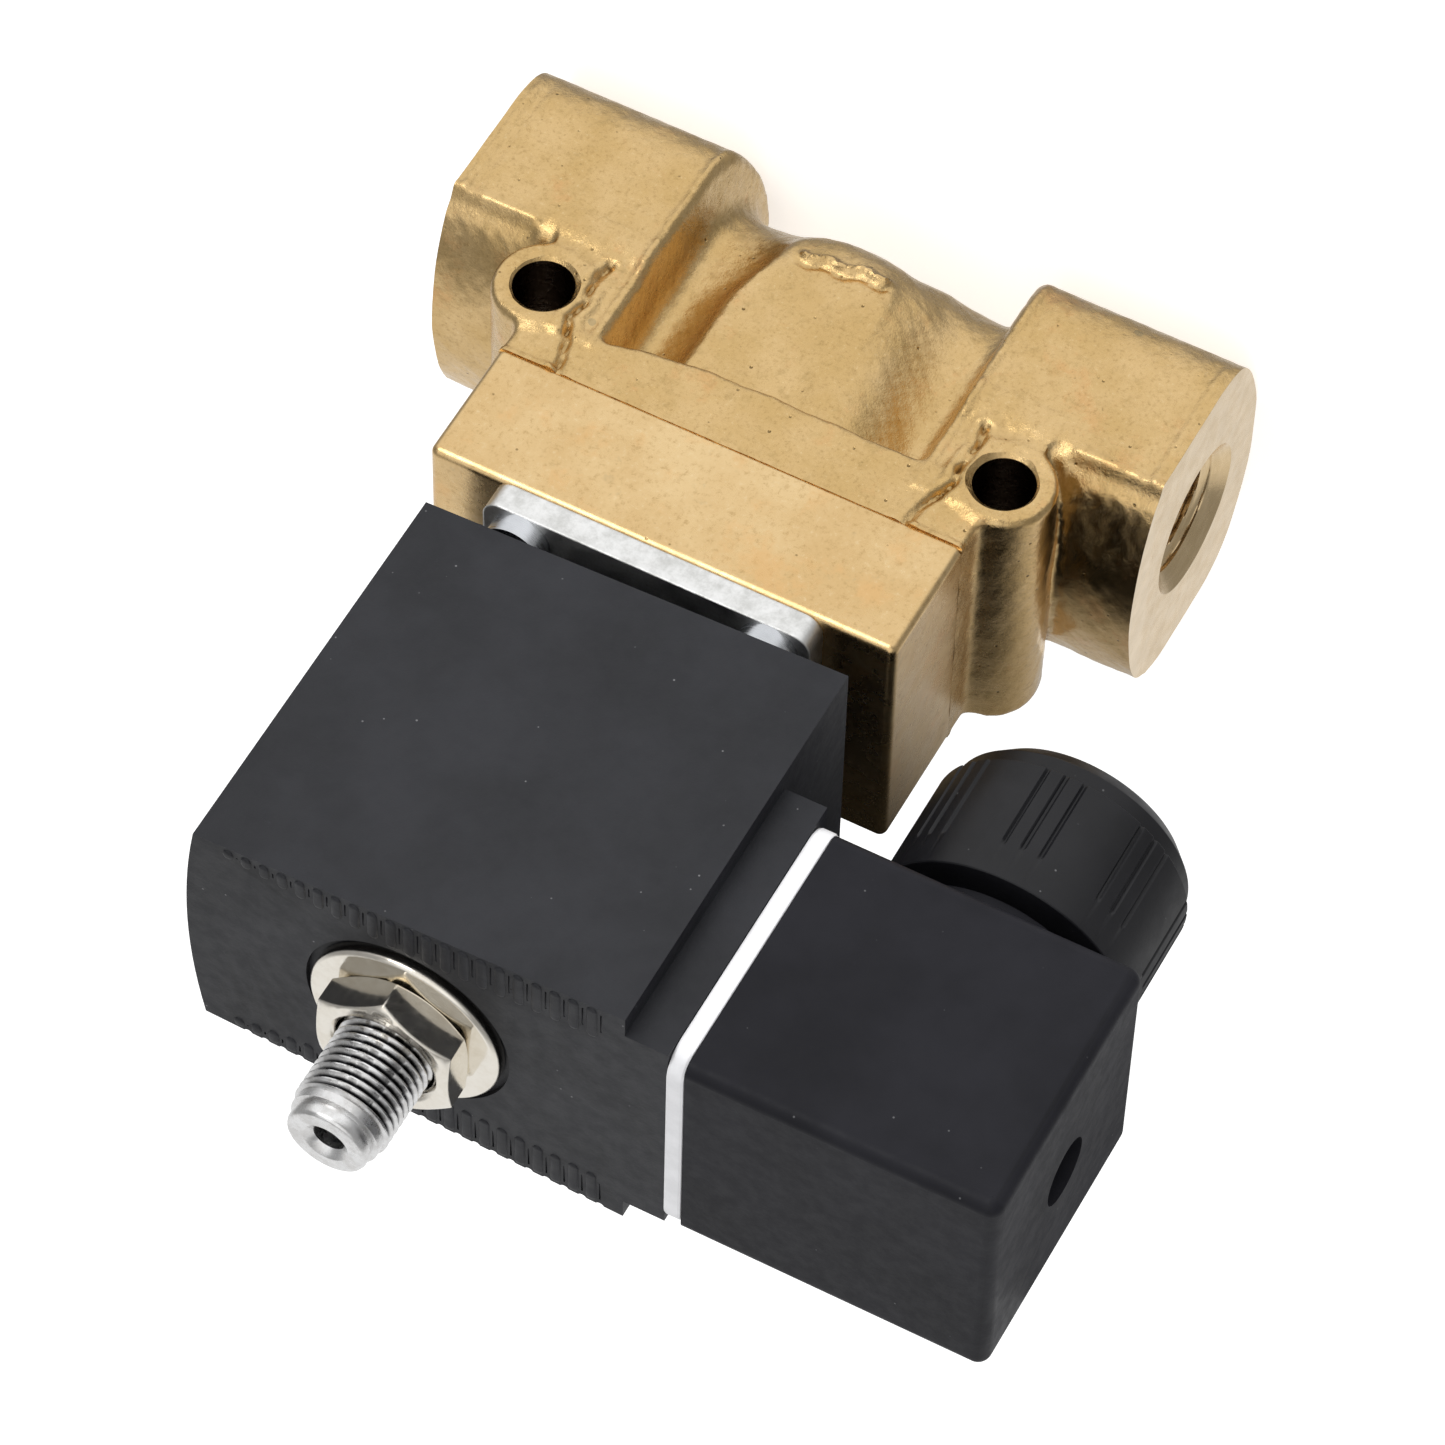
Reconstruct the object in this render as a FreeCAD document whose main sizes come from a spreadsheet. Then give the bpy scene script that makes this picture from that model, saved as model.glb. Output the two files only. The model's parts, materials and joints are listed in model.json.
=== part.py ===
import FreeCAD, Part
import Sketcher
import os
from FreeCAD import Placement, Rotation, Vector

# A pilot-operated solenoid valve: brass body with two threaded ports, bolted cover, armature tube
# with an exhaust nipple, encapsulated coil and plug connector.
# Frame: origin midway between the two mounting holes, on the coil axis. +X to the outlet port and
# the connector, +Y square to the valve's broad side, +Z up the coil axis to the exhaust nipple.
# Levels called "rise" are heights above the joint face between the body and the cover.

DIMENSIONS = [
    # alias, value in mm, meaning
    ("joint_rise", 9.0, "joint face of body and cover, above the mounting holes"),
    ("body_length", 77.2, "port face to port face"),
    ("flange_length", 50.0, "body flange and cover, along X"),
    ("flange_width", 31.0, "body flange and cover, along Y"),
    ("flange_depth", 7.5, "body flange, below the joint face"),
    ("block_inner", 16.9, "inner side of a port block, from the axis"),
    ("block_width", 32.0, "port block along Y"),
    ("block_top", 1.6, "crown of a port block, below the mounting holes"),
    ("block_base", 29.3, "flat land under a port block, below the mounting holes"),
    ("block_crown", 30.0, "radius of a port block's crowned top"),
    ("block_keel", 24.0, "radius of a port block's crowned underside"),
    ("keel_crest", 29.43, "crest of the underside's curve, below the mounting holes"),
    ("block_corner", 3.0, "radius of a port block's lower corners"),
    ("block_shoulder", 2.5, "radius of a port block's upper corners"),
    ("port_drop", 16.0, "port axis, below the mounting holes"),
    ("port_core", 5.72, "core radius of the G1/4 port thread"),
    ("port_depth", 12.5, "depth of the port thread with its mouth"),
    ("port_mouth", 8.0, "radius of the port mouth"),
    ("port_chamfer", 1.3, "depth of the port mouth"),
    ("passage", 4.5, "radius of the flow passages"),
    ("hole_pitch", 50.0, "distance between the mounting holes"),
    ("hole_radius", 3.1, "mounting hole"),
    ("boss_radius", 5.2, "boss round a mounting hole"),
    ("neck_radius", 10.0, "round neck between the port blocks"),
    ("dome_radius", 14.0, "dome under the piston chamber"),
    ("dome_ball", 20.0, "radius of the dome's round bottom"),
    ("dome_drop", 14.6, "centre of the dome's round bottom, below the joint face"),
    ("dome_shift", 1.2, "dome axis, towards the inlet"),
    ("chamber", 11.5, "radius of the piston chamber"),
    ("chamber_depth", 15.0, "floor of the ring channel, below the joint face"),
    ("seat_rise", 6.0, "seat lip above the ring channel's floor"),
    ("seat_outer", 6.3, "outer radius of the seat"),
    ("riser_offset", 8.9, "inlet riser, from the axis"),
    ("riser_radius", 2.5, "inlet riser"),
    ("ring_groove_inner", 12.4, "cover seal groove, inner radius"),
    ("ring_groove_outer", 14.0, "cover seal groove, outer radius"),
    ("ring_groove_depth", 1.3, "cover seal groove"),
    ("seal_cord", 0.62, "radius of the O-ring cord as fitted"),
    ("cover_height", 13.7, "cover"),
    ("cover_edge", 0.9, "radius of the cover's edges"),
    ("bonnet_depth", 9.0, "piston chamber in the cover"),
    ("collar_recess", 3.1, "depth of the recess for the tube collar"),
    ("collar_recess_radius", 9.0, "recess for the tube collar"),
    ("screw_x", 13.3, "cover screws, from the axis along X"),
    ("screw_y", 12.4, "cover screws, from the axis along Y"),
    ("screw_shank", 1.95, "radius of the M4 cover screws"),
    ("screw_length", 22.0, "cover screws under the head"),
    ("screw_head", 3.1, "head radius of the cover screws"),
    ("screw_head_height", 2.1, "head height of the cover screws"),
    ("screw_socket", 1.45, "corner radius of the hexagon socket"),
    ("plate_length", 35.0, "flange plate along X"),
    ("plate_width", 31.0, "flange plate along Y"),
    ("plate_thickness", 2.9, "flange plate"),
    ("plate_corner", 2.0, "corner radius of the flange plate"),
    ("tube_outer", 6.5, "armature tube, outer radius"),
    ("tube_inner", 5.6, "armature tube, inner radius"),
    ("tube_top", 61.6, "rise of the tube's upper end"),
    ("collar_radius", 8.85, "collar of the armature tube"),
    ("collar_height", 1.8, "collar of the armature tube"),
    ("running_gap", 0.07, "radial clearance of the piston and the plunger"),
    ("snug_gap", 0.05, "clearance between pieces that lie against each other"),
    ("pilot_top", 12.2, "rise of the pilot seat's nose"),
    ("pilot_orifice", 0.6, "radius of the pilot orifice"),
    ("plunger_length", 24.4, "plunger"),
    ("core_bottom", 38.6, "rise of the fixed core's face"),
    ("nipple_radius", 4.865, "R1/8 thread of the exhaust nipple, gauge radius"),
    ("nipple_top", 77.8, "rise of the nipple's end"),
    ("exhaust_bore", 1.65, "radius of the exhaust bore"),
    ("coil_bottom", 19.0, "rise of the coil's underside"),
    ("coil_top", 62.5, "rise of the coil's top"),
    ("coil_back", 22.3, "coil from the axis to its closed end"),
    ("coil_front", 22.8, "coil from the axis to its connector end"),
    ("coil_half_back", 14.85, "half thickness of the coil at its closed end"),
    ("coil_back_radius", 85.0, "radius of the coil's bulging closed end"),
    ("coil_half_front", 16.8, "half thickness of the coil at its connector end"),
    ("coil_bore", 6.7, "radius of the coil's bore"),
    ("coil_foot", 9.5, "radius of the foot ring under the coil"),
    ("winding_outer", 13.2, "radius of the winding"),
    ("washer_radius", 10.05, "coil washer"),
    ("washer_thickness", 1.5, "coil washer"),
    ("washer_recess", 0.65, "depth of the washer recess"),
    ("nut_flats", 14.0, "coil nut across its flats"),
    ("nut_height", 4.0, "coil nut"),
    ("nut_thread", 5.2, "thread radius of the core under the coil nut"),
    ("nut_turn", 30.0, "angle of the coil nut as tightened, degrees"),
    ("pedestal_end", 27.2, "connector pedestal, from the axis"),
    ("pedestal_half", 14.2, "half width of the connector pedestal"),
    ("pedestal_bottom", 31.5, "rise of the pedestal's lower end"),
    ("gasket_thickness", 1.9, "profile gasket"),
    ("gasket_half", 14.1, "half width of the gasket"),
    ("gasket_bottom", 32.3, "rise of the gasket's lower end"),
    ("gasket_top", 63.0, "rise of the gasket's upper end"),
    ("plug_end", 60.8, "connector housing, from the axis"),
    ("plug_half", 13.9, "half width of the connector housing"),
    ("plug_bottom", 33.1, "rise of the housing's lower side"),
    ("plug_top", 62.9, "rise of the housing's upper side"),
    ("plug_centre", 48.0, "rise of the connector's middle screw"),
    ("plug_edge", 1.4, "edge radius of the housing"),
    ("contact_pitch", 9.0, "contacts, from the connector's middle"),
    ("gland_axis", 44.9, "cable gland, from the coil axis"),
    ("gland_radius", 13.3, "gland nut"),
    ("gland_tip", 13.1, "rise of the gland nut's outer end"),
    ("gland_rim", 30.2, "rise of the gland nut's inner end"),
    ("spigot_radius", 9.3, "threaded spigot of the housing"),
    ("spigot_end", 21.2, "rise of the spigot's end"),
    ("cable_hole", 4.0, "radius of the hole in the grommet"),
]

doc = FreeCAD.newDocument("solenoid_valve")
sheet = doc.addObject("Spreadsheet::Sheet", "sizes")


def number(value):
    """Plain value of a size or a number."""
    return value.value if isinstance(value, Size) else float(value)


class Size:
    """A dimension that knows both its value and the spreadsheet expression that gives it."""

    def __init__(self, text, value):
        self.text = text
        self.value = value

    @staticmethod
    def text_of(other):
        return other.text if isinstance(other, Size) else repr(float(other))

    def __add__(self, other):
        return Size(f"({self.text} + {self.text_of(other)})", self.value + number(other))

    def __radd__(self, other):
        return Size(f"({self.text_of(other)} + {self.text})", number(other) + self.value)

    def __sub__(self, other):
        return Size(f"({self.text} - {self.text_of(other)})", self.value - number(other))

    def __rsub__(self, other):
        return Size(f"({self.text_of(other)} - {self.text})", number(other) - self.value)

    def __mul__(self, other):
        return Size(f"({self.text} * {self.text_of(other)})", self.value * number(other))

    __rmul__ = __mul__

    def __truediv__(self, other):
        return Size(f"({self.text} / {self.text_of(other)})", self.value / number(other))

    def __neg__(self):
        return Size(f"(0 - {self.text})", -self.value)


class Dims:
    """The driving dimensions by name."""


for row, (alias, value, meaning) in enumerate(DIMENSIONS, start=1):
    sheet.set(f"A{row}", meaning)
    sheet.set(f"B{row}", str(value))
    sheet.setAlias(f"B{row}", alias)
    setattr(Dims, alias, Size(f"sizes.{alias}", value))
doc.recompute()
d = Dims
nodes = []

ALONG_X = Rotation(Vector(0, 1, 0), 90)
ALONG_Y = Rotation(Vector(1, 0, 0), -90)
UPRIGHT = Rotation()


def rise(height):
    """Level in the part's frame of a height above the joint face."""
    return d.joint_rise + height


def bind(thing, path, size):
    """Tie a property to the sheet."""
    thing.setExpression(path, Size.text_of(size))


def place(thing, x=0, y=0, z=0, turn=UPRIGHT):
    """Put an object at a bound position."""
    thing.Placement = Placement(Vector(), turn)
    for axis, size in zip("xyz", (x, y, z)):
        bind(thing, f"Placement.Base.{axis}", size)
    return thing


def box(name, x_low, x_high, y_low, y_high, z_low, z_high):
    """Block between bound limits."""
    block = doc.addObject("Part::Box", name)
    bind(block, "Length", x_high - x_low)
    bind(block, "Width", y_high - y_low)
    bind(block, "Height", z_high - z_low)
    return place(block, x_low, y_low, z_low)


def cylinder(name, radius, height, x=0, y=0, z=0, turn=UPRIGHT):
    """Round bar from its base point."""
    bar = doc.addObject("Part::Cylinder", name)
    bind(bar, "Radius", radius)
    bind(bar, "Height", height)
    return place(bar, x, y, z, turn)


def cone(name, radius_low, radius_high, height, x=0, y=0, z=0, turn=UPRIGHT):
    """Tapered bar from its base point."""
    bar = doc.addObject("Part::Cone", name)
    bind(bar, "Radius1", radius_low)
    bind(bar, "Radius2", radius_high)
    bind(bar, "Height", height)
    return place(bar, x, y, z, turn)


def torus(name, ring_radius, cord_radius, x=0, y=0, z=0, turn=UPRIGHT):
    """O-ring round its centre."""
    ring = doc.addObject("Part::Torus", name)
    bind(ring, "Radius1", ring_radius)
    bind(ring, "Radius2", cord_radius)
    return place(ring, x, y, z, turn)


def hexagon(name, corner_radius, height, x=0, y=0, z=0, turn=UPRIGHT):
    """Six-sided bar."""
    bar = doc.addObject("Part::Prism", name)
    bar.Polygon = 6
    bind(bar, "Circumradius", corner_radius)
    bind(bar, "Height", height)
    return place(bar, x, y, z, turn)


def fuse(name, pieces):
    joined = doc.addObject("Part::MultiFuse", name)
    joined.Shapes = pieces
    return joined


def group(name, pieces):
    """Separate solids kept in one node."""
    together = doc.addObject("Part::Compound", name)
    together.Links = pieces
    return together


def common(name, first, second):
    shared = doc.addObject("Part::MultiCommon", name)
    shared.Shapes = [first, second]
    return shared


def cut(name, base, tools):
    """Take one or more tools from a base."""
    result = doc.addObject("Part::Cut", name)
    result.Base = base
    result.Tool = tools[0] if len(tools) == 1 else fuse(name + "_tools", tools)
    return result


def rounded(name, base, radius, chosen):
    """Fillet the base's edges that the test accepts."""
    doc.recompute()
    fillet = doc.addObject("Part::Fillet", name)
    fillet.Base = base
    value = number(radius)
    picks = [index for index, edge in enumerate(base.Shape.Edges, start=1) if chosen(edge)]
    fillet.Edges = [(index, value, value) for index in picks]
    return fillet


def keep(thing, label):
    """Name an object as a sub-part of the valve."""
    thing.Label = label
    nodes.append(thing)
    return thing


def runs_along(edge, direction):
    """Is the edge straight and parallel to the direction?"""
    if not isinstance(edge.Curve, Part.Line):
        return False
    return abs(edge.Curve.Direction.dot(direction)) > 0.999


def middle(edge):
    return edge.CenterOfMass


def origin_plane(body, role):
    return next(item for item in body.Origin.OriginFeatures if item.Role == role)


def turned(label, profile, x=0, y=0, z=0, turn=UPRIGHT):
    """Sub-part turned about its own Z axis from a profile of (radius, height) corners."""
    body = doc.addObject("PartDesign::Body", label + "_body")
    sketch = body.newObject("Sketcher::SketchObject", label + "_profile")
    sketch.AttachmentSupport = [(origin_plane(body, "XZ_Plane"), "")]
    sketch.MapMode = "FlatFace"
    corners = [Vector(number(radius), number(height), 0) for radius, height in profile]
    count = len(corners)
    for index in range(count):
        sketch.addGeometry(Part.LineSegment(corners[index], corners[(index + 1) % count]), False)
    for index in range(count):
        sketch.addConstraint(Sketcher.Constraint("Coincident", index, 2, (index + 1) % count, 1))
    for index, (radius, height) in enumerate(profile):
        pin_to_axis(sketch, index, "DistanceX", radius, -2, f"r_{index}")
        pin_to_axis(sketch, index, "DistanceY", height, -1, f"z_{index}")
    revolution = body.newObject("PartDesign::Revolution", label + "_turn")
    revolution.Profile = sketch
    revolution.ReferenceAxis = (sketch, ["V_Axis"])
    revolution.Angle = 360.0
    body.Tip = revolution
    place(body, x, y, z, turn)
    return body


def pin_to_axis(sketch, index, kind, size, axis, name):
    """Hold a profile corner at a bound distance, or on the axis where the distance is nothing."""
    if number(size) == 0:
        sketch.addConstraint(Sketcher.Constraint("PointOnObject", index, 1, axis))
        return
    position = sketch.addConstraint(Sketcher.Constraint(kind, -1, 1, index, 1, number(size)))
    sketch.renameConstraint(position, name)
    bind(sketch, f"Constraints.{name}", size)


def helix_spring(label, coil_radius, wire_radius, z_low, z_high, turns):
    """Compression spring between two levels, modelled with plain ends."""
    spine = doc.addObject("Part::Helix", label + "_line")
    bind(spine, "Radius", coil_radius)
    bind(spine, "Height", z_high - z_low - wire_radius * 2)
    bind(spine, "Pitch", (z_high - z_low - wire_radius * 2) / turns)
    wire = doc.addObject("Part::Circle", label + "_wire")
    bind(wire, "Radius", wire_radius)
    place(wire, coil_radius, 0, 0, Rotation(Vector(1, 0, 0), 90))
    spring = doc.addObject("Part::Sweep", label)
    spring.Sections = [wire]
    spring.Spine = (spine, ["Edge1"])
    spring.Solid = True
    spring.Frenet = True
    return place(spring, 0, 0, z_low + wire_radius)


# ---------------------------------------------------------------- body

half_length = d.body_length / 2
half_flange = d.flange_length / 2
half_width = d.flange_width / 2
half_block = d.block_width / 2
half_pitch = d.hole_pitch / 2
FACING = {"inlet": -1, "outlet": 1}


def port_block(side, sign):
    """Crowned block that carries one port."""
    near, far = (d.block_inner, half_length) if sign > 0 else (-half_length, -d.block_inner)
    block = box(f"{side}_block", near, far, -half_block, half_block, -d.block_base, -d.block_top)
    crown = cylinder(f"{side}_crown", d.block_crown, d.body_length, -half_length, 0,
                     -(d.block_top + d.block_crown), ALONG_X)
    keel = cylinder(f"{side}_keel", d.block_keel, d.body_length, -half_length, 0,
                    d.block_keel - d.keel_crest, ALONG_X)
    crowned = common(f"{side}_crowned", common(f"{side}_capped", block, crown), keel)

    def corner(edge, lower):
        outer = runs_along(edge, Vector(1, 0, 0)) and abs(middle(edge).y) > 15
        return outer and (middle(edge).z < -20) == lower

    soft = rounded(f"{side}_soft", crowned, d.block_corner, lambda edge: corner(edge, True))
    return rounded(f"{side}_softer", soft, d.block_shoulder, lambda edge: corner(edge, False))


def port_tools(side, sign):
    """Threaded port with its chamfered mouth."""
    turn = Rotation(Vector(0, 1, 0), 90 * sign)
    start = (half_length - d.port_depth) * sign
    thread = cylinder(f"{side}_thread", d.port_core, d.port_depth, start, 0, -d.port_drop, turn)
    mouth_start = (half_length - d.port_chamfer) * sign
    mouth = cone(f"{side}_mouth", d.port_mouth - d.port_chamfer, d.port_mouth, d.port_chamfer,
                 mouth_start, 0, -d.port_drop, turn)
    return [thread, mouth]


def mounting_bar(side, sign, radius, reach):
    """Round bar along Y at a mounting hole."""
    return cylinder(f"{side}_{reach}", radius, d.flange_width, half_pitch * sign, -half_width, 0,
                    ALONG_Y)


def screw_places():
    """Corners of the cover screw pattern."""
    return [(f"{index}", d.screw_x * sx, d.screw_y * sy)
            for index, (sx, sy) in enumerate([(1, 1), (-1, 1), (-1, -1), (1, -1)], start=1)]


def screw_holes(owner, radius, z_low, z_high):
    return [cylinder(f"{owner}_hole_{tag}", radius, z_high - z_low, x, y, z_low)
            for tag, x, y in screw_places()]


seat_level = rise(d.seat_rise - d.chamber_depth)
OVERSHOOT = 1.0


def valve_body():
    flange = box("flange", -half_flange, half_flange, -half_width, half_width,
                 rise(-d.flange_depth), d.joint_rise)
    neck = cylinder("neck", d.neck_radius, d.block_inner * 2, -d.block_inner, 0, -d.port_drop,
                    ALONG_X)
    web = box("web", -d.block_inner, d.block_inner, -d.neck_radius, d.neck_radius, -d.port_drop,
              rise(-d.flange_depth))
    dome_post = cylinder("dome_post", d.dome_radius, d.joint_rise + d.block_base, -d.dome_shift, 0,
                         -d.block_base)
    dome_ball = doc.addObject("Part::Sphere", "dome_ball")
    bind(dome_ball, "Radius", d.dome_ball)
    place(dome_ball, -d.dome_shift, 0, rise(-d.dome_drop))
    dome = common("dome", dome_post, dome_ball)
    solids = [flange, neck, web, dome]
    for side, sign in FACING.items():
        solids.append(port_block(side, sign))
        solids.append(mounting_bar(side, sign, d.boss_radius, "boss"))
    casting = fuse("casting", solids)

    chamber = cylinder("chamber", d.chamber, d.chamber_depth + OVERSHOOT, 0, 0,
                       rise(-d.chamber_depth))
    seat = cylinder("seat_post", d.seat_outer, d.seat_rise, 0, 0, rise(-d.chamber_depth))
    tools = [cut("ring_channel", chamber, [seat])]
    tools.append(cylinder("seat_bore", d.passage, seat_level + d.port_drop + OVERSHOOT, 0, 0,
                          -d.port_drop))
    tools.append(cylinder("outlet_passage", d.passage, half_length - OVERSHOOT, 0, 0, -d.port_drop,
                          ALONG_X))
    tools.append(cylinder("inlet_passage", d.passage, half_length - d.riser_offset + d.riser_radius
                          - OVERSHOOT, -half_length + OVERSHOOT, 0, -d.port_drop, ALONG_X))
    tools.append(cylinder("inlet_riser", d.riser_radius,
                          rise(-d.chamber_depth) + d.port_drop + OVERSHOOT, -d.riser_offset, 0,
                          -d.port_drop))
    groove = cylinder("groove_disc", d.ring_groove_outer, d.ring_groove_depth + OVERSHOOT, 0, 0,
                      rise(-d.ring_groove_depth))
    land = cylinder("groove_land", d.ring_groove_inner, d.ring_groove_depth + OVERSHOOT, 0, 0,
                    rise(-d.ring_groove_depth))
    tools.append(cut("seal_groove", groove, [land]))
    tools += screw_holes("body", d.screw_shank + d.snug_gap, rise(-d.flange_depth + OVERSHOOT),
                         d.joint_rise + OVERSHOOT)
    for side, sign in FACING.items():
        tools += port_tools(side, sign)
        tools.append(mounting_bar(side, sign, d.hole_radius, "bolt_hole"))
    return cut("machined_body", casting, tools)


keep(valve_body(), "valve_body")
keep(torus("cover_ring", (d.ring_groove_inner + d.ring_groove_outer) / 2, d.seal_cord, 0, 0,
           rise(-d.ring_groove_depth / 2)), "cover_o_ring")

# ---------------------------------------------------------------- cover and flange plate

cover_top = rise(d.cover_height)
recess_floor = cover_top - d.collar_recess
plate_top = cover_top + d.plate_thickness
CLEARANCE_HOLE = 2.2
PILOT_PLUG_RADIUS = 2.5


def valve_cover():
    blank = box("cover_blank", -half_flange, half_flange, -half_width, half_width, d.joint_rise,
                cover_top)
    soft = rounded("cover_soft", blank, d.cover_edge,
                   lambda edge: middle(edge).z > number(d.joint_rise) + 0.1)
    tools = [cylinder("bonnet", d.chamber, d.bonnet_depth + OVERSHOOT, 0, 0,
                      d.joint_rise - OVERSHOOT)]
    tools.append(cylinder("collar_seat", d.collar_recess_radius, d.collar_recess + OVERSHOOT, 0, 0,
                          recess_floor))
    tools.append(cylinder("pilot_hole", PILOT_PLUG_RADIUS, d.cover_height, 0, 0, d.joint_rise))
    tools += screw_holes("cover", CLEARANCE_HOLE, d.joint_rise - OVERSHOOT, cover_top + OVERSHOOT)
    return cut("machined_cover", soft, tools)


def flange_plate():
    half_x = d.plate_length / 2
    half_y = d.plate_width / 2
    blank = box("plate_blank", -half_x, half_x, -half_y, half_y, cover_top, plate_top)
    soft = rounded("plate_soft", blank, d.plate_corner,
                   lambda edge: runs_along(edge, Vector(0, 0, 1)))
    tools = [cylinder("plate_bore", d.tube_outer + 0.15, d.plate_thickness + OVERSHOOT * 2, 0, 0,
                      cover_top - OVERSHOOT)]
    tools += screw_holes("plate", CLEARANCE_HOLE, cover_top - OVERSHOOT, plate_top + OVERSHOOT)
    return cut("drilled_plate", soft, tools)


def plate_screw(tag, x, y):
    """Socket screw that clamps plate, cover and body."""
    shank = cylinder(f"shank_{tag}", d.screw_shank, d.screw_length, x, y,
                     plate_top - d.screw_length)
    head = cylinder(f"head_{tag}", d.screw_head, d.screw_head_height, x, y, plate_top)
    socket = hexagon(f"socket_{tag}", d.screw_socket, d.screw_head_height, x, y,
                     plate_top + d.screw_head_height / 2)
    return cut(f"cover_screw_{tag}", fuse(f"screw_blank_{tag}", [shank, head]), [socket])


keep(valve_cover(), "valve_cover")
keep(flange_plate(), "flange_plate")
keep(group("screw_set", [plate_screw(*spot) for spot in screw_places()]), "plate_screws")

# ---------------------------------------------------------------- main piston

piston_radius = d.chamber - d.running_gap
DISC_RADIUS = 6.8
DISC_THICKNESS = 2.0
HUB_RADIUS = 8.2
SPRING_CUP = 7.5
BLEED = 0.4
RETAINER_THICKNESS = 0.8
RETAINER_SCREW = 1.3
RING_LOW = 7.2
RING_HEIGHT = 1.8
RING_DEPTH = 1.2
hub_bottom = seat_level + 1.0
skirt_low = 3.0
cup_floor = 6.0
piston_height = 13.0


def main_piston():
    turned_piston = turned("piston_blank", [
        (RETAINER_SCREW + d.snug_gap, DISC_THICKNESS - 1.0),
        (DISC_RADIUS + d.snug_gap, DISC_THICKNESS - 1.0), (DISC_RADIUS + d.snug_gap, 0),
        (HUB_RADIUS, 0), (HUB_RADIUS, skirt_low), (piston_radius, skirt_low),
        (piston_radius, RING_LOW), (piston_radius - RING_DEPTH, RING_LOW),
        (piston_radius - RING_DEPTH, RING_LOW + RING_HEIGHT),
        (piston_radius, RING_LOW + RING_HEIGHT), (piston_radius, piston_height),
        (SPRING_CUP, piston_height), (SPRING_CUP, cup_floor),
        (RETAINER_SCREW + d.snug_gap, cup_floor)], z=hub_bottom)
    bleed = cylinder("bleed", BLEED, piston_height, -9.2, 0, hub_bottom + skirt_low - OVERSHOOT)
    return cut("drilled_piston", turned_piston, [bleed])


def piston_ring():
    inner = piston_radius - RING_DEPTH + d.snug_gap
    outer = d.chamber - 0.03
    return turned("wear_ring", [(inner, 0), (outer, 0), (outer, RING_HEIGHT - 0.1),
                                (inner, RING_HEIGHT - 0.1)], z=hub_bottom + RING_LOW + d.snug_gap)


def retainer_screw():
    head_low = seat_level - RETAINER_THICKNESS - 1.6
    head = cylinder("retainer_head", 2.4, 1.6, 0, 0, head_low)
    shank = cylinder("retainer_shank", RETAINER_SCREW, 10.0, 0, 0, head_low)
    slot = box("retainer_slot", -3.0, 3.0, -0.35, 0.35, head_low - 0.1, head_low + 0.7)
    return cut("slotted_retainer", fuse("retainer_blank", [head, shank]), [slot])


keep(main_piston(), "main_piston")
keep(piston_ring(), "piston_ring")
keep(turned("seat_disc", [
    (RETAINER_SCREW + d.snug_gap, 0), (DISC_RADIUS, 0), (DISC_RADIUS, DISC_THICKNESS - 0.04),
    (RETAINER_SCREW + d.snug_gap, DISC_THICKNESS - 0.04)], z=seat_level + 0.02), "seat_seal")
keep(turned("retainer_washer", [(RETAINER_SCREW + d.snug_gap, 0), (3.6, 0),
                                (3.6, RETAINER_THICKNESS),
                                (RETAINER_SCREW + d.snug_gap, RETAINER_THICKNESS)],
            z=seat_level - RETAINER_THICKNESS), "seal_retainer")
keep(retainer_screw(), "retainer_screw")
keep(helix_spring("piston_coil", 5.2, 0.45, hub_bottom + cup_floor + 0.02,
                  rise(d.bonnet_depth) - 0.02, 5), "piston_spring")

# ---------------------------------------------------------------- armature tube and pilot

collar_low = cover_top - d.collar_height
tube_length = d.tube_top - (d.cover_height - d.collar_height)
plunger_radius = d.tube_inner - d.running_gap
plunger_low = rise(d.pilot_top) + 0.4
plunger_top = plunger_low + d.plunger_length
PAD_RADIUS = 2.55
PAD_THICKNESS = 1.9
SPRING_BORE = 3.0
SPRING_BORE_DEPTH = 8.0
FLOW_SLOT = 1.2
SHADE_INNER = 3.6
SHADE_OUTER = 4.5
SHADE_DEPTH = 1.5


def armature_tube():
    return turned("armature_turning", [
        (d.tube_inner, 0), (d.collar_radius, 0), (d.collar_radius, d.collar_height),
        (d.tube_outer, d.collar_height), (d.tube_outer, tube_length),
        (d.tube_inner, tube_length)], z=collar_low)


def pilot_seat():
    plug_height = recess_floor - rise(d.bonnet_depth)
    nose = rise(d.pilot_top) - rise(d.bonnet_depth)
    return turned("pilot_turning", [
        (d.pilot_orifice, 0), (PILOT_PLUG_RADIUS - 0.02, 0),
        (PILOT_PLUG_RADIUS - 0.02, plug_height), (4.2, plug_height),
        (4.2, plug_height + 0.7), (1.8, plug_height + 0.7), (1.2, nose),
        (d.pilot_orifice, nose)], z=rise(d.bonnet_depth))


def plunger():
    rod = cylinder("plunger_rod", plunger_radius, d.plunger_length, 0, 0, plunger_low)
    pocket = cylinder("pad_pocket", PAD_RADIUS + d.snug_gap, PAD_THICKNESS - 0.4 + 0.1 + OVERSHOOT,
                      0, 0, plunger_low - OVERSHOOT)
    bore = cylinder("spring_bore", SPRING_BORE, SPRING_BORE_DEPTH + OVERSHOOT, 0, 0,
                    plunger_top - SPRING_BORE_DEPTH)
    slots = [box(f"flow_slot_{tag}", low, high, -FLOW_SLOT / 2, FLOW_SLOT / 2,
                 plunger_low - OVERSHOOT, plunger_top + OVERSHOOT)
             for tag, low, high in [("front", plunger_radius - FLOW_SLOT, plunger_radius + 1.0),
                                    ("back", -plunger_radius - 1.0, -plunger_radius + FLOW_SLOT)]]
    return cut("slotted_plunger", rod, [pocket, bore] + slots)


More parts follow.
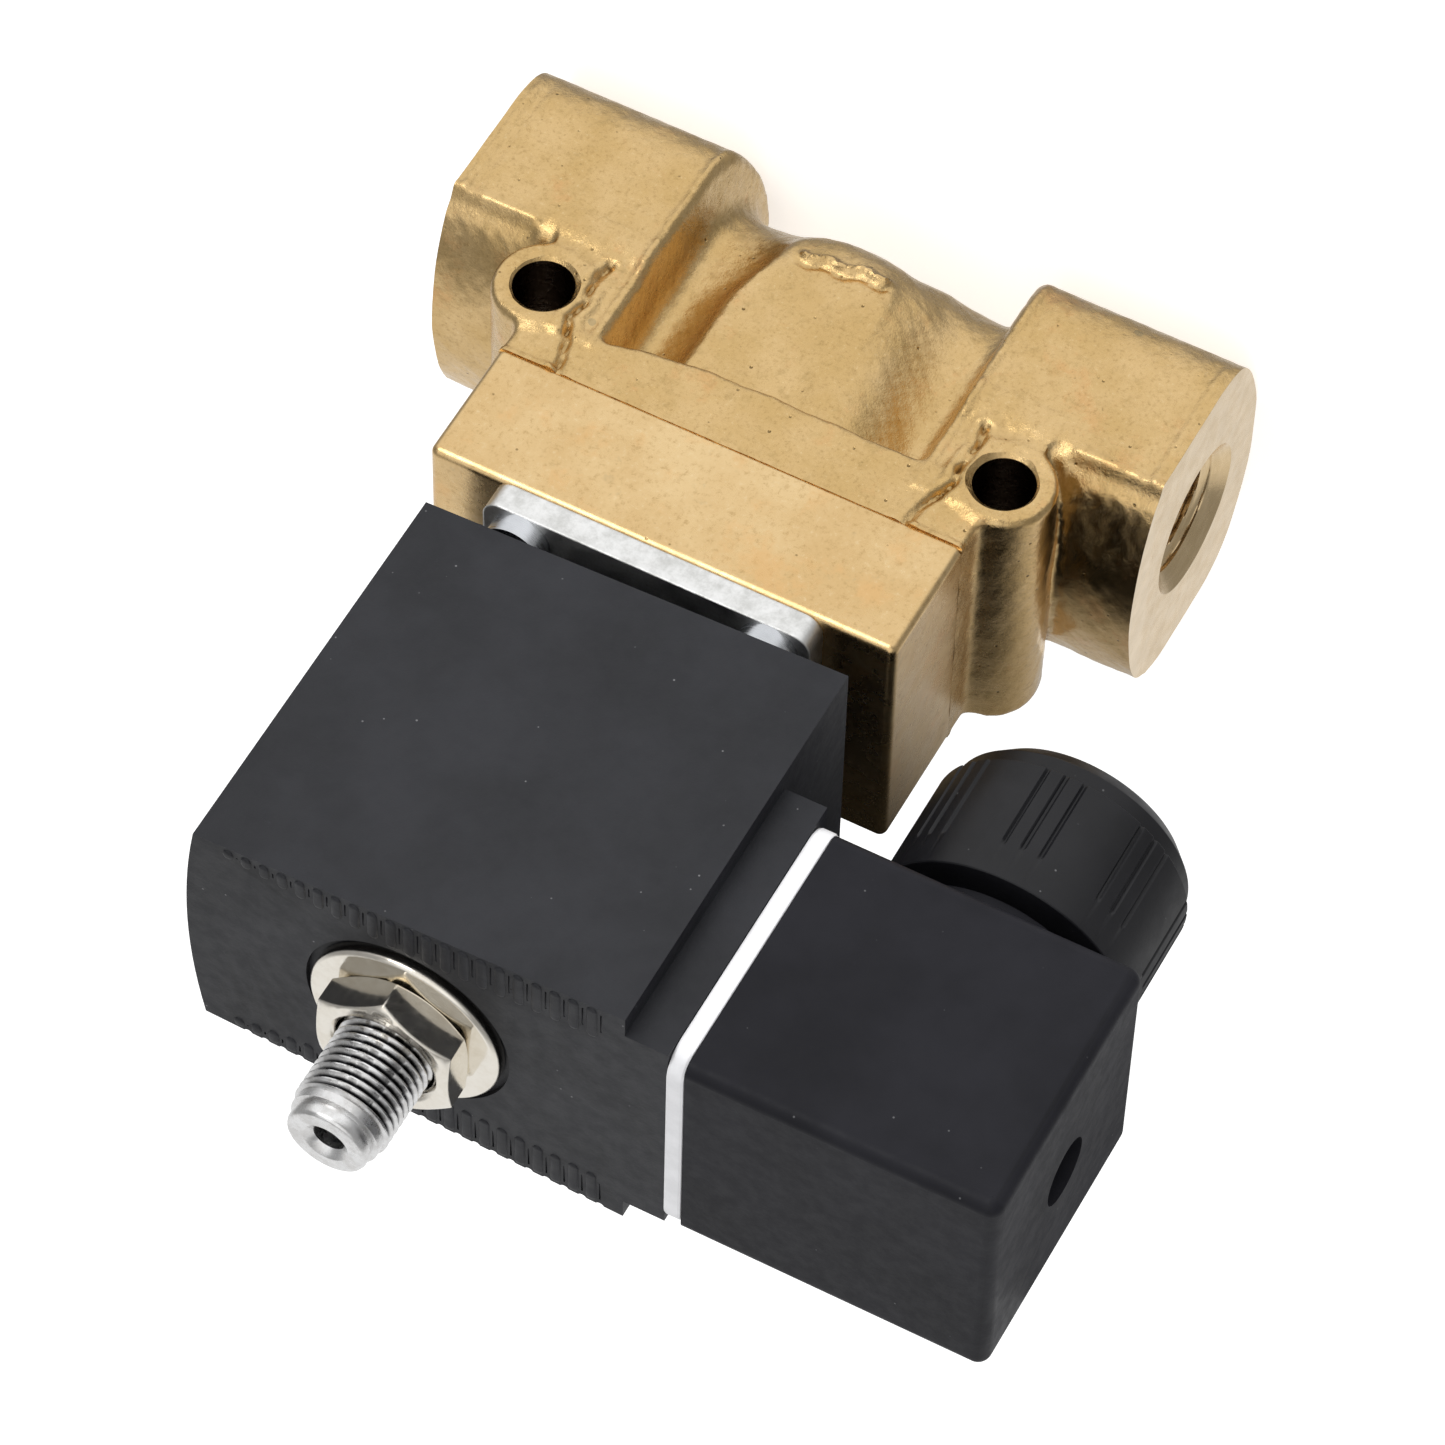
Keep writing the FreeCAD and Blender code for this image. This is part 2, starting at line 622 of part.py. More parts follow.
def core_nipple():
    """Fixed core and exhaust nipple, turned in one piece."""
    shoulder = d.tube_top - d.core_bottom
    above_nut = d.coil_top - d.washer_recess + d.washer_thickness + d.nut_height + 0.1
    collar = d.nipple_top - 2.7 - d.core_bottom
    tip = d.nipple_top - d.core_bottom
    outer = d.tube_inner - 0.02
    return turned("core_turning", [
        (d.exhaust_bore, 0), (SHADE_INNER, 0), (SHADE_INNER, SHADE_DEPTH),
        (SHADE_OUTER, SHADE_DEPTH), (SHADE_OUTER, 0), (outer, 0), (outer, shoulder),
        (d.nut_thread, shoulder), (d.nut_thread, above_nut - d.core_bottom),
        (d.nipple_radius, above_nut - d.core_bottom), (d.nipple_radius, collar),
        (4.55, collar), (4.55, tip - 1.7), (4.0, tip - 1.7), (4.0, tip - 1.1),
        (4.2, tip - 1.1), (4.2, tip - 0.4), (3.9, tip), (2.6, tip), (d.exhaust_bore, tip - 0.6)],
        z=rise(d.core_bottom))


keep(armature_tube(), "armature_tube")
keep(torus("tube_ring", 7.75, d.seal_cord, 0, 0, (recess_floor + collar_low) / 2), "tube_o_ring")
keep(pilot_seat(), "pilot_seat")
keep(plunger(), "plunger")
keep(cylinder("plunger_pad", PAD_RADIUS, PAD_THICKNESS, 0, 0, rise(d.pilot_top) + 0.02),
     "plunger_seal")
keep(helix_spring("plunger_coil", 2.25, 0.3, plunger_top - SPRING_BORE_DEPTH + 0.02,
                  rise(d.core_bottom) - 0.02, 7), "plunger_spring")
keep(core_nipple(), "core_nipple")
keep(turned("shading_turning", [(SHADE_INNER + 0.02, 0), (SHADE_OUTER - 0.02, 0),
                                (SHADE_OUTER - 0.02, SHADE_DEPTH - 0.02),
                                (SHADE_INNER + 0.02, SHADE_DEPTH - 0.02)],
            z=rise(d.core_bottom)), "shading_ring")

# ---------------------------------------------------------------- coil

coil_low = rise(d.coil_bottom)
coil_high = rise(d.coil_top)
BOBBIN_LOW = 23.4
BOBBIN_HIGH = 57.1
BOBBIN_WALL = 1.1
BOBBIN_FLANGE = 1.2
FRAME_SHEET = 2.5
FRAME_HALF = 11.5
FRAME_BACK = 19.5
FRAME_FRONT = 14.0
frame_low = rise(BOBBIN_LOW) - FRAME_SHEET - 0.05
frame_high = rise(BOBBIN_HIGH) + FRAME_SHEET + 0.05
BLADE_WIDTH = 6.3
BLADE_THICKNESS = 0.8
BLADE_START = 24.2
BLADE_END = 36.4


def frame_plates(owner, grow):
    """Top, bottom and back of the flux bracket, or the cavities that hold them."""
    back, front, half = -FRAME_BACK - grow, FRAME_FRONT + grow, FRAME_HALF + grow
    low, high = frame_low - grow, frame_high + grow
    sheet_thick = FRAME_SHEET + grow * 2
    return [box(f"{owner}_bottom", back, front, -half, half, low, low + sheet_thick),
            box(f"{owner}_top", back, front, -half, half, high - sheet_thick, high),
            box(f"{owner}_back", back, back + sheet_thick, -half, half, low, high)]


def contact_boxes(owner, x_low, x_high, width, thickness):
    """Flat boxes at the three contact places of the connector face."""
    centre = rise(d.plug_centre)
    boxes = []
    for tag, y in [("one", d.contact_pitch), ("two", -d.contact_pitch)]:
        boxes.append(box(f"{owner}_{tag}", x_low, x_high, y - thickness / 2, y + thickness / 2,
                         centre - width / 2, centre + width / 2))
    earth = centre + d.contact_pitch
    boxes.append(box(f"{owner}_earth", x_low, x_high, -width / 2, width / 2,
                     earth - thickness / 2, earth + thickness / 2))
    return boxes


def coil_block():
    """Tapered block of the encapsulated coil, padded from its plan."""
    body = doc.addObject("PartDesign::Body", "coil_block")
    sketch = body.newObject("Sketcher::SketchObject", "coil_plan")
    sketch.AttachmentSupport = [(origin_plane(body, "XY_Plane"), "")]
    sketch.MapMode = "FlatFace"
    plan = [(-d.coil_back, -d.coil_half_back), (d.coil_front, -d.coil_half_front),
            (d.coil_front, d.coil_half_front), (-d.coil_back, d.coil_half_back)]
    corners = [Vector(number(x), number(y), 0) for x, y in plan]
    for index in range(3):
        sketch.addGeometry(Part.LineSegment(corners[index], corners[index + 1]), False)
    radius = number(d.coil_back_radius)
    bulge = radius - (radius ** 2 - number(d.coil_half_back) ** 2) ** 0.5
    crest = Vector(-number(d.coil_back) - bulge, 0, 0)
    sketch.addGeometry(Part.Arc(corners[3], crest, corners[0]), False)
    for index in range(4):
        sketch.addConstraint(Sketcher.Constraint("Coincident", index, 2, (index + 1) % 4, 1))
    for index, (x, y) in enumerate(plan):
        pin_to_axis(sketch, index, "DistanceX", x, -2, f"x_{index}")
        pin_to_axis(sketch, index, "DistanceY", y, -1, f"y_{index}")
    position = sketch.addConstraint(Sketcher.Constraint("Radius", 3, radius))
    sketch.renameConstraint(position, "back_radius")
    bind(sketch, "Constraints.back_radius", d.coil_back_radius)
    pad = body.newObject("PartDesign::Pad", "coil_pad")
    pad.Profile = sketch
    bind(pad, "Length", coil_high - coil_low)
    body.Tip = pad
    return place(body, 0, 0, coil_low)


def coil_shell():
    foot = cylinder("coil_foot_ring", d.coil_foot, coil_low - plate_top - d.snug_gap, 0, 0,
                    plate_top + d.snug_gap)
    pedestal = box("pedestal", d.coil_front - OVERSHOOT, d.pedestal_end, -d.pedestal_half,
                   d.pedestal_half, rise(d.pedestal_bottom), coil_high)
    blank = fuse("coil_blank", [coil_block(), foot, pedestal])
    tools = [cylinder("coil_hole", d.coil_bore, coil_high - plate_top + OVERSHOOT, 0, 0, plate_top)]
    tools.append(cylinder("winding_room", d.winding_outer + 0.45,
                          BOBBIN_HIGH - BOBBIN_LOW + d.snug_gap * 2, 0, 0,
                          rise(BOBBIN_LOW) - d.snug_gap))
    tools.append(cylinder("washer_seat", d.washer_radius + 0.75, d.washer_recess + OVERSHOOT, 0, 0,
                          coil_high - d.washer_recess))
    tools.append(cylinder("plug_screw_hole", 1.55, 5.0, d.pedestal_end - 4.0, 0,
                          rise(d.plug_centre), ALONG_X))
    tools += frame_plates("frame_room", 0.03)
    tools += contact_boxes("blade_room", BLADE_START - 0.03, d.pedestal_end + OVERSHOOT,
                           BLADE_WIDTH + 0.06, BLADE_THICKNESS + 0.06)
    return cut("moulded_coil", blank, tools)


def coil_bobbin():
    inner = d.coil_bore
    flange = d.winding_outer + 0.4
    height = BOBBIN_HIGH - BOBBIN_LOW
    return turned("bobbin_turning", [
        (inner, 0), (flange, 0), (flange, BOBBIN_FLANGE), (inner + BOBBIN_WALL, BOBBIN_FLANGE),
        (inner + BOBBIN_WALL, height - BOBBIN_FLANGE), (flange, height - BOBBIN_FLANGE),
        (flange, height), (inner, height)], z=rise(BOBBIN_LOW))


def coil_winding():
    inner = d.coil_bore + BOBBIN_WALL + 0.05
    height = BOBBIN_HIGH - BOBBIN_LOW - BOBBIN_FLANGE * 2 - 0.1
    return turned("winding_turning", [(inner, 0), (d.winding_outer, 0), (d.winding_outer, height),
                                      (inner, height)], z=rise(BOBBIN_LOW + BOBBIN_FLANGE + 0.05))


def coil_frame():
    hole = cylinder("frame_hole", d.coil_bore, frame_high - frame_low + OVERSHOOT * 2, 0, 0,
                    frame_low - OVERSHOOT)
    return cut("pierced_frame", fuse("bent_frame", frame_plates("frame", 0)), [hole])


def coil_nut():
    corner = d.nut_flats / 2 / 0.8660254
    low = coil_high - d.washer_recess + d.washer_thickness + d.snug_gap
    bar = hexagon("nut_bar", corner, d.nut_height, 0, 0, low,
                  Rotation(Vector(0, 0, 1), number(d.nut_turn)))
    bevel = (corner - d.nut_flats / 2) * 0.62
    flat = d.nut_flats / 2 - 0.15
    turned_form = turned("nut_form", [
        (0, 0), (flat, 0), (corner + 0.01, bevel), (corner + 0.01, d.nut_height - bevel),
        (flat, d.nut_height), (0, d.nut_height)], z=low)
    nut_bore = d.nut_thread + d.snug_gap
    bore = cylinder("nut_bore", nut_bore, d.nut_height + OVERSHOOT * 2, 0, 0, low - OVERSHOOT)
    lead = cone("nut_lead", nut_bore, nut_bore + 0.6, 0.6, 0, 0, low + d.nut_height - 0.6)
    return cut("tapped_nut", common("nut_blank", bar, turned_form), [bore, lead])


def coil_washer():
    inner = d.nut_thread + 0.3
    bevel = 0.3
    low = coil_high - d.washer_recess + d.snug_gap
    return turned("washer_turning", [
        (inner, 0), (d.washer_radius, 0), (d.washer_radius, d.washer_thickness - bevel),
        (d.washer_radius - bevel, d.washer_thickness), (inner, d.washer_thickness)], z=low)


keep(coil_shell(), "coil_shell")
keep(coil_bobbin(), "coil_bobbin")
keep(coil_winding(), "coil_winding")
keep(coil_frame(), "coil_frame")
keep(group("blade_set", contact_boxes("blade", BLADE_START, BLADE_END, BLADE_WIDTH,
                                      BLADE_THICKNESS)), "coil_blades")
keep(coil_washer(), "coil_washer")
keep(coil_nut(), "coil_nut")

# ---------------------------------------------------------------- plug connector

gasket_end = d.pedestal_end + d.gasket_thickness
plug_middle = rise(d.plug_centre)
INSERT_HALF = 11.3
INSERT_END = 45.8
CAVITY_HALF = 11.6
CAVITY_END = 57.8
POST_RADIUS = 4.9
POST_START = 46.0
SCREW_SEAT = 50.0
SCREW_RECESS = 3.5
CLIP_START = 31.0
CLIP_END = 42.0
CLIP_WIDTH = 7.6
CLIP_THICKNESS = 4.4
PLUG_SCREW = 1.5


def connector_gasket():
    blank = box("gasket_blank", d.pedestal_end, gasket_end, -d.gasket_half, d.gasket_half,
                rise(d.gasket_bottom), rise(d.gasket_top))
    soft = rounded("gasket_soft", blank, 3.0, lambda edge: runs_along(edge, Vector(1, 0, 0)))
    tools = [cylinder("gasket_hole", PLUG_SCREW + 0.2, d.gasket_thickness + 2, d.pedestal_end - 1.0,
                      0, plug_middle, ALONG_X)]
    tools += contact_boxes("gasket_slot", d.pedestal_end - 1.0, gasket_end + 1.0,
                           BLADE_WIDTH + 0.6, BLADE_THICKNESS + 0.6)
    return cut("punched_gasket", soft, tools)


def connector_housing():
    outside = box("plug_blank", gasket_end, d.plug_end, -d.plug_half, d.plug_half,
                  rise(d.plug_bottom), rise(d.plug_top))
    at_gasket = number(gasket_end) + 0.1
    soft = rounded("plug_soft", outside, d.plug_edge, lambda edge: middle(edge).x > at_gasket)
    cavity = box("plug_cavity", gasket_end - OVERSHOOT, CAVITY_END, -CAVITY_HALF, CAVITY_HALF,
                 plug_middle - CAVITY_HALF, plug_middle + CAVITY_HALF)
    collar = cylinder("gland_collar", 11.2, d.plug_bottom - 31.2 + OVERSHOOT, d.gland_axis, 0,
                      rise(31.2))
    spigot = cylinder("gland_spigot", d.spigot_radius, d.plug_bottom - d.spigot_end + OVERSHOOT,
                      d.gland_axis, 0, rise(d.spigot_end))
    shell = cut("plug_shell", fuse("plug_outside", [soft, collar, spigot]), [cavity])
    post = cylinder("screw_post", POST_RADIUS, CAVITY_END - POST_START + OVERSHOOT, POST_START, 0,
                    plug_middle, ALONG_X)
    recess = cylinder("screw_recess", SCREW_RECESS, d.plug_end - SCREW_SEAT + OVERSHOOT, SCREW_SEAT,
                      0, plug_middle, ALONG_X)
    hole = cylinder("screw_way", PLUG_SCREW + 0.1, SCREW_SEAT - POST_START + OVERSHOOT * 2,
                    POST_START - OVERSHOOT, 0, plug_middle, ALONG_X)
    entry = cylinder("cable_way", 6.5, plug_middle - CAVITY_HALF + OVERSHOOT - rise(d.spigot_end)
                     + OVERSHOOT, d.gland_axis, 0, rise(d.spigot_end) - OVERSHOOT)
    return cut("bored_plug", fuse("plug_with_post", [shell, post]), [recess, hole, entry])


def connector_insert():
    block = box("insert_block", gasket_end + 0.05, INSERT_END, -INSERT_HALF, INSERT_HALF,
                plug_middle - INSERT_HALF, plug_middle + INSERT_HALF)
    tools = [cylinder("insert_hole", PLUG_SCREW + 0.2, INSERT_END, gasket_end - 1.0, 0,
                      plug_middle, ALONG_X)]
    tools += contact_boxes("blade_way", gasket_end - 1.0, CLIP_START + 0.1, BLADE_WIDTH + 0.4,
                           BLADE_THICKNESS + 0.4)
    tools += contact_boxes("clip_room", CLIP_START, INSERT_END + 1.0, CLIP_WIDTH + 0.1,
                           CLIP_THICKNESS + 0.1)
    return cut("pocketed_insert", block, tools)


def contact_clips():
    """Sockets that take the blades, each tapped for its wire screw."""
    bodies = contact_boxes("clip", CLIP_START + 0.02, CLIP_END, CLIP_WIDTH, CLIP_THICKNESS)
    slots = contact_boxes("clip_slot", CLIP_START - 1.0, 37.0, BLADE_WIDTH + 0.1,
                          BLADE_THICKNESS + 0.1)
    return group("clip_set", [cut(f"{body.Name}_socket", body, [slot, hole])
                              for body, slot, hole in zip(bodies, slots,
                                                          terminal_bars("clip_tap", 1.25, 38.0,
                                                                        CLIP_END + 1.0))])


def terminal_bars(owner, radius, x_low, x_high):
    """Round bars on the three contact axes."""
    spots = [("one", d.contact_pitch, plug_middle), ("two", -d.contact_pitch, plug_middle),
             ("earth", 0, plug_middle + d.contact_pitch)]
    return [cylinder(f"{owner}_{tag}", radius, x_high - x_low, x_low, y, z, ALONG_X)
            for tag, y, z in spots]


def terminal_screws():
    shanks = terminal_bars("terminal_shank", 1.2, 39.0, CLIP_END + 0.5)
    heads = terminal_bars("terminal_head", 2.0, CLIP_END + 0.02, CLIP_END + 1.6)
    return group("terminal_set", [fuse(f"terminal_{index}", [shank, head])
                                  for index, (shank, head) in enumerate(zip(shanks, heads))])


def connector_screw():
    head_start = SCREW_SEAT + 1.0
    shank = cylinder("plug_shank", PLUG_SCREW, head_start - 24.0 + 0.5, 24.0, 0, plug_middle,
                     ALONG_X)
    head = cylinder("plug_head", 2.8, 2.2, head_start, 0, plug_middle, ALONG_X)
    slot = box("plug_slot", head_start + 1.2, head_start + 3.0, -0.4, 0.4, plug_middle - 4.0,
               plug_middle + 4.0)
    return cut("slotted_plug_screw", fuse("plug_screw_blank", [shank, head]), [slot])


keep(connector_gasket(), "connector_gasket")
keep(connector_housing(), "connector_housing")
keep(connector_insert(), "connector_insert")
keep(contact_clips(), "contact_clips")
keep(terminal_screws(), "terminal_screws")
keep(connector_screw(), "connector_screw")
keep(torus("plug_ring", 2.15, 0.48, SCREW_SEAT + 0.5, 0, plug_middle, ALONG_X), "screw_o_ring")

# ---------------------------------------------------------------- cable gland

gland_low = rise(d.gland_tip)
GLAND_FLOOR = 2.2
GLAND_HOLE = 5.25
GLAND_CORE = 9.45
STEP_RADIUS = 12.4
RUBBER_RADIUS = 9.0


def gland_nut():
    height = d.gland_rim - d.gland_tip
    return turned("gland_turning", [
        (GLAND_HOLE, 0), (10.7, 0), (STEP_RADIUS, 1.9), (STEP_RADIUS, 3.8),
        (d.gland_radius, 3.8), (d.gland_radius, height - 0.5), (d.gland_radius - 0.5, height),
        (GLAND_CORE, height), (GLAND_CORE, GLAND_FLOOR), (GLAND_HOLE, GLAND_FLOOR)],
        x=d.gland_axis, z=gland_low)


keep(gland_nut(), "gland_nut")
keep(turned("thrust_turning", [(5.6, 0), (RUBBER_RADIUS, 0), (RUBBER_RADIUS, 0.8), (5.6, 0.8)],
            x=d.gland_axis, z=gland_low + GLAND_FLOOR + 0.02), "gland_washer")
keep(turned("grommet_turning", [
    (d.cable_hole, 0), (RUBBER_RADIUS, 0), (RUBBER_RADIUS, 5.0), (d.cable_hole, 5.0)],
    x=d.gland_axis, z=gland_low + GLAND_FLOOR + 0.84), "gland_grommet")

# ---------------------------------------------------------------- check and write

doc.recompute()
for item in doc.Objects:
    if {"Invalid", "Error"} & set(item.State):
        raise RuntimeError(f"{item.Name} failed: {item.State}")
for node in nodes:
    if node.Shape.isNull() or not node.Shape.isValid():
        raise RuntimeError(f"{node.Label} has no valid shape")

os.makedirs("parts", exist_ok=True)
for node in nodes:
    node.Shape.exportStep(f"parts/{node.Label}.step")
    print(f"{node.Label}: {len(node.Shape.Solids)} solids, {node.Shape.Volume:.1f} mm3")
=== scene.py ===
import json
import math

import bmesh
import bpy
import numpy as np
from mathutils import Matrix, Quaternion, Vector


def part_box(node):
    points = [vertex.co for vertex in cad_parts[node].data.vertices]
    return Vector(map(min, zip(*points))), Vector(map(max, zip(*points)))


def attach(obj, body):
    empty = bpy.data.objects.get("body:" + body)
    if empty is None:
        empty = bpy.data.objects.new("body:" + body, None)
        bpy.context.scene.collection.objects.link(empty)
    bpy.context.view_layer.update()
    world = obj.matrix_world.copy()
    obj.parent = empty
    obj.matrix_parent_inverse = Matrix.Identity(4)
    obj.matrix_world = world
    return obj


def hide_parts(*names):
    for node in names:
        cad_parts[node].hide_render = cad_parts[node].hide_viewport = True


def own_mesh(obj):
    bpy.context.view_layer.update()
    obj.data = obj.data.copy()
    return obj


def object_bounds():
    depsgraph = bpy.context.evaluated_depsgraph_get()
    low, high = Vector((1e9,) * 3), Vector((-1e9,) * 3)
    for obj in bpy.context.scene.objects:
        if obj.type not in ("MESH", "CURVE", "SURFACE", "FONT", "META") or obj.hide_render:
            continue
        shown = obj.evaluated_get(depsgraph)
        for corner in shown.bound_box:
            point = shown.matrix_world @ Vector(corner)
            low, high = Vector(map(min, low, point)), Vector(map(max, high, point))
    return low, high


# A pilot-operated solenoid valve. Shapes are worked out in millimetres in the part's own frame:
# origin between the mounting holes, +X to the outlet port and the plug, +Z up the coil axis.

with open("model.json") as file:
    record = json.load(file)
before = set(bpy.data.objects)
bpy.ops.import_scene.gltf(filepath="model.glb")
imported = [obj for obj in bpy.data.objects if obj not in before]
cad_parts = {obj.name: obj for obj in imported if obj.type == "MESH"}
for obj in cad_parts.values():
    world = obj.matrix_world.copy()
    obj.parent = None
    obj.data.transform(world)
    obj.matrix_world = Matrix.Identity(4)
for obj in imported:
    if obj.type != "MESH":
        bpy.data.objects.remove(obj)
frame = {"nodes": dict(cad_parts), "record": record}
cad_low, cad_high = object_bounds()
nodes = frame["nodes"]
MM = 0.001
LARGE_FACE = 5.0  # square millimetres: faces larger than this are shaded flat


def low(node):
    """Lowest corner of a CAD node, in millimetres."""
    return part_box(node)[0] / MM


def high(node):
    """Highest corner of a CAD node, in millimetres."""
    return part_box(node)[1] / MM


# ---------------------------------------------------------------- mesh tools


def put_in_scene(name, data):
    """New object in the scene that shows some data."""
    made = bpy.data.objects.new(name, data)
    bpy.context.scene.collection.objects.link(made)
    return made


def new_object(name, vertices, faces):
    """Mesh object from vertices in millimetres."""
    mesh = bpy.data.meshes.new(name)
    mesh.from_pydata((np.asarray(vertices, float) * MM).tolist(), [], faces)
    mesh.validate()
    return put_in_scene(name, mesh)


def tidy_mesh(piece, merge=1e-6):
    """Weld loose seams and turn the faces outwards."""
    work = bmesh.new()
    work.from_mesh(piece.data)
    bmesh.ops.remove_doubles(work, verts=work.verts, dist=merge)
    bmesh.ops.dissolve_degenerate(work, edges=work.edges, dist=merge * 0.1)
    bmesh.ops.recalc_face_normals(work, faces=work.faces)
    work.to_mesh(piece.data)
    work.free()


def merge_flat(work):
    """Merge the faces that lie in one plane."""
    bmesh.ops.dissolve_limit(work, angle_limit=math.radians(0.4), verts=work.verts, edges=work.edges)


def shade(piece, angle):
    """Smooth shading with crisp edges, in which large flat faces stay flat."""
    work = bmesh.new()
    work.from_mesh(piece.data)
    merge_flat(work)
    for face in work.faces:
        face.smooth = face.calc_area() < LARGE_FACE * MM * MM
    work.to_mesh(piece.data)
    work.free()
    mesh = piece.data
    mesh.set_sharp_from_angle(angle=math.radians(angle))
    even = piece.modifiers.new("even", "WEIGHTED_NORMAL")
    even.keep_sharp = True
    even.weight = 100
    bake_modifiers(piece)


def bake_modifiers(piece):
    """Turn a piece's modifiers into its mesh."""
    graph = bpy.context.evaluated_depsgraph_get()
    mesh = bpy.data.meshes.new_from_object(piece.evaluated_get(graph))
    piece.modifiers.clear()
    old = piece.data
    piece.data = mesh
    bpy.data.meshes.remove(old)


def remove(piece):
    """Delete a piece and its mesh."""
    mesh = piece.data
    bpy.data.objects.remove(piece)
    bpy.data.meshes.remove(mesh)


def carve(piece, cutters, operation="DIFFERENCE"):
    """Cut closed shapes out of a piece, or join them to it."""
    for cutter in cutters:
        step = piece.modifiers.new("carve", "BOOLEAN")
        step.operation = operation
        step.solver = "MANIFOLD"
        step.object = cutter
        bake_modifiers(piece)
        remove(cutter)
    return piece


def copy_of(node, name):
    """New piece with the shape of a CAD node, to be worked further."""
    piece = put_in_scene(name, nodes[node].data.copy())
    tidy_mesh(piece, 2e-6)
    return piece


def soften(profile, radius, steps=4):
    """Closed outline with each corner replaced by an arc."""
    points = [Vector(point).to_2d() for point in profile]
    count = len(points)
    result = []
    for index, corner in enumerate(points):
        back = points[index - 1] - corner
        ahead = points[(index + 1) % count] - corner
        half = back.angle(ahead, math.pi) / 2
        if corner.x < 1e-6 or abs(half - math.pi / 2) < 0.02:
            result.append(corner)
            continue
        reach = min(radius / math.tan(half), back.length * 0.45, ahead.length * 0.45)
        start = corner + back.normalized() * reach
        end = corner + ahead.normalized() * reach
        for step in range(steps + 1):
            part = step / steps
            result.append(start * (1 - part) ** 2 + corner * 2 * part * (1 - part) + end * part ** 2)
    return [(point.x, point.y) for point in result]


def lathe(name, profile, segments=96, place=(0, 0, 0), axis="Z", wave=None):
    """Closed outline of (radius, height) turned about an axis; wave changes radii by angle."""
    outline = np.asarray(profile, float)
    angle = np.arange(segments) * 2 * math.pi / segments
    radius = np.repeat(outline[None, :, 0], segments, 0)
    height = np.repeat(outline[None, :, 1], segments, 0)
    if wave is not None:
        radius = wave(angle[:, None], height, radius)
    turned = [radius * np.cos(angle[:, None]), radius * np.sin(angle[:, None]), height]
    order = {"X": (2, 0, 1), "Y": (1, 2, 0), "Z": (0, 1, 2)}[axis]
    points = np.stack([turned[k] for k in order], -1).reshape(-1, 3) + np.asarray(place, float)
    count = len(outline)
    ring = np.arange(segments)
    faces = []
    for step in range(count):
        after = (step + 1) % count
        here = ring * count
        there = (ring + 1) % segments * count
        faces.append(np.stack([here + step, there + step, there + after, here + after], -1))
    piece = new_object(name, points, np.concatenate(faces).tolist())
    tidy_mesh(piece)
    return piece


def rod(name, radius, start, end, place=(0, 0, 0), axis="Z", segments=96):
    """Plain round bar."""
    return lathe(name, [(0, start), (radius, start), (radius, end), (0, end)], segments, place, axis)


def block(name, corner_low, corner_high):
    """Plain box."""
    x, y, z = zip(corner_low, corner_high)
    points = [(x[i], y[j], z[k]) for i in (0, 1) for j in (0, 1) for k in (0, 1)]
    faces = [(0, 1, 3, 2), (4, 6, 7, 5), (0, 4, 5, 1), (2, 3, 7, 6), (0, 2, 6, 4), (1, 5, 7, 3)]
    return new_object(name, points, faces)


def thread_points(radius, start, end, pitch, steps_per_turn=12):
    """Straight run of a profile, divided finely enough to carry a thread."""
    count = int((end - start) / pitch * steps_per_turn)
    return [(radius, start + (end - start) * step / count) for step in range(count + 1)]


def thread_wave(start, end, pitch, depth, run_out, sharpness):
    """Helical ridges between two heights, running out at each end."""
    def wave(angle, height, radius):
        phase = (height - start) / pitch - angle / (2 * math.pi)
        crest = 1 - np.abs((phase % 1.0) * 2 - 1)
        crest = np.clip(crest * 1.35 - 0.12, 0, 1) ** sharpness
        ends = np.clip((height - start) / run_out, 0, 1) * np.clip((end - height) / run_out, 0, 1)
        inside = (height > start) & (height < end)
        return np.where(inside, radius - depth * (1 - crest) * np.minimum(ends * 1.5, 1), radius)
    return wave


def blend_min(a, b, size):
    """Union of two distance fields with a fillet."""
    mix = np.clip(0.5 + 0.5 * (b - a) / size, 0, 1)
    return b + (a - b) * mix - size * mix * (1 - mix)


def blend_max(a, b, size):
    """Intersection of two distance fields with a rounded edge."""
    return -blend_min(-a, -b, size)


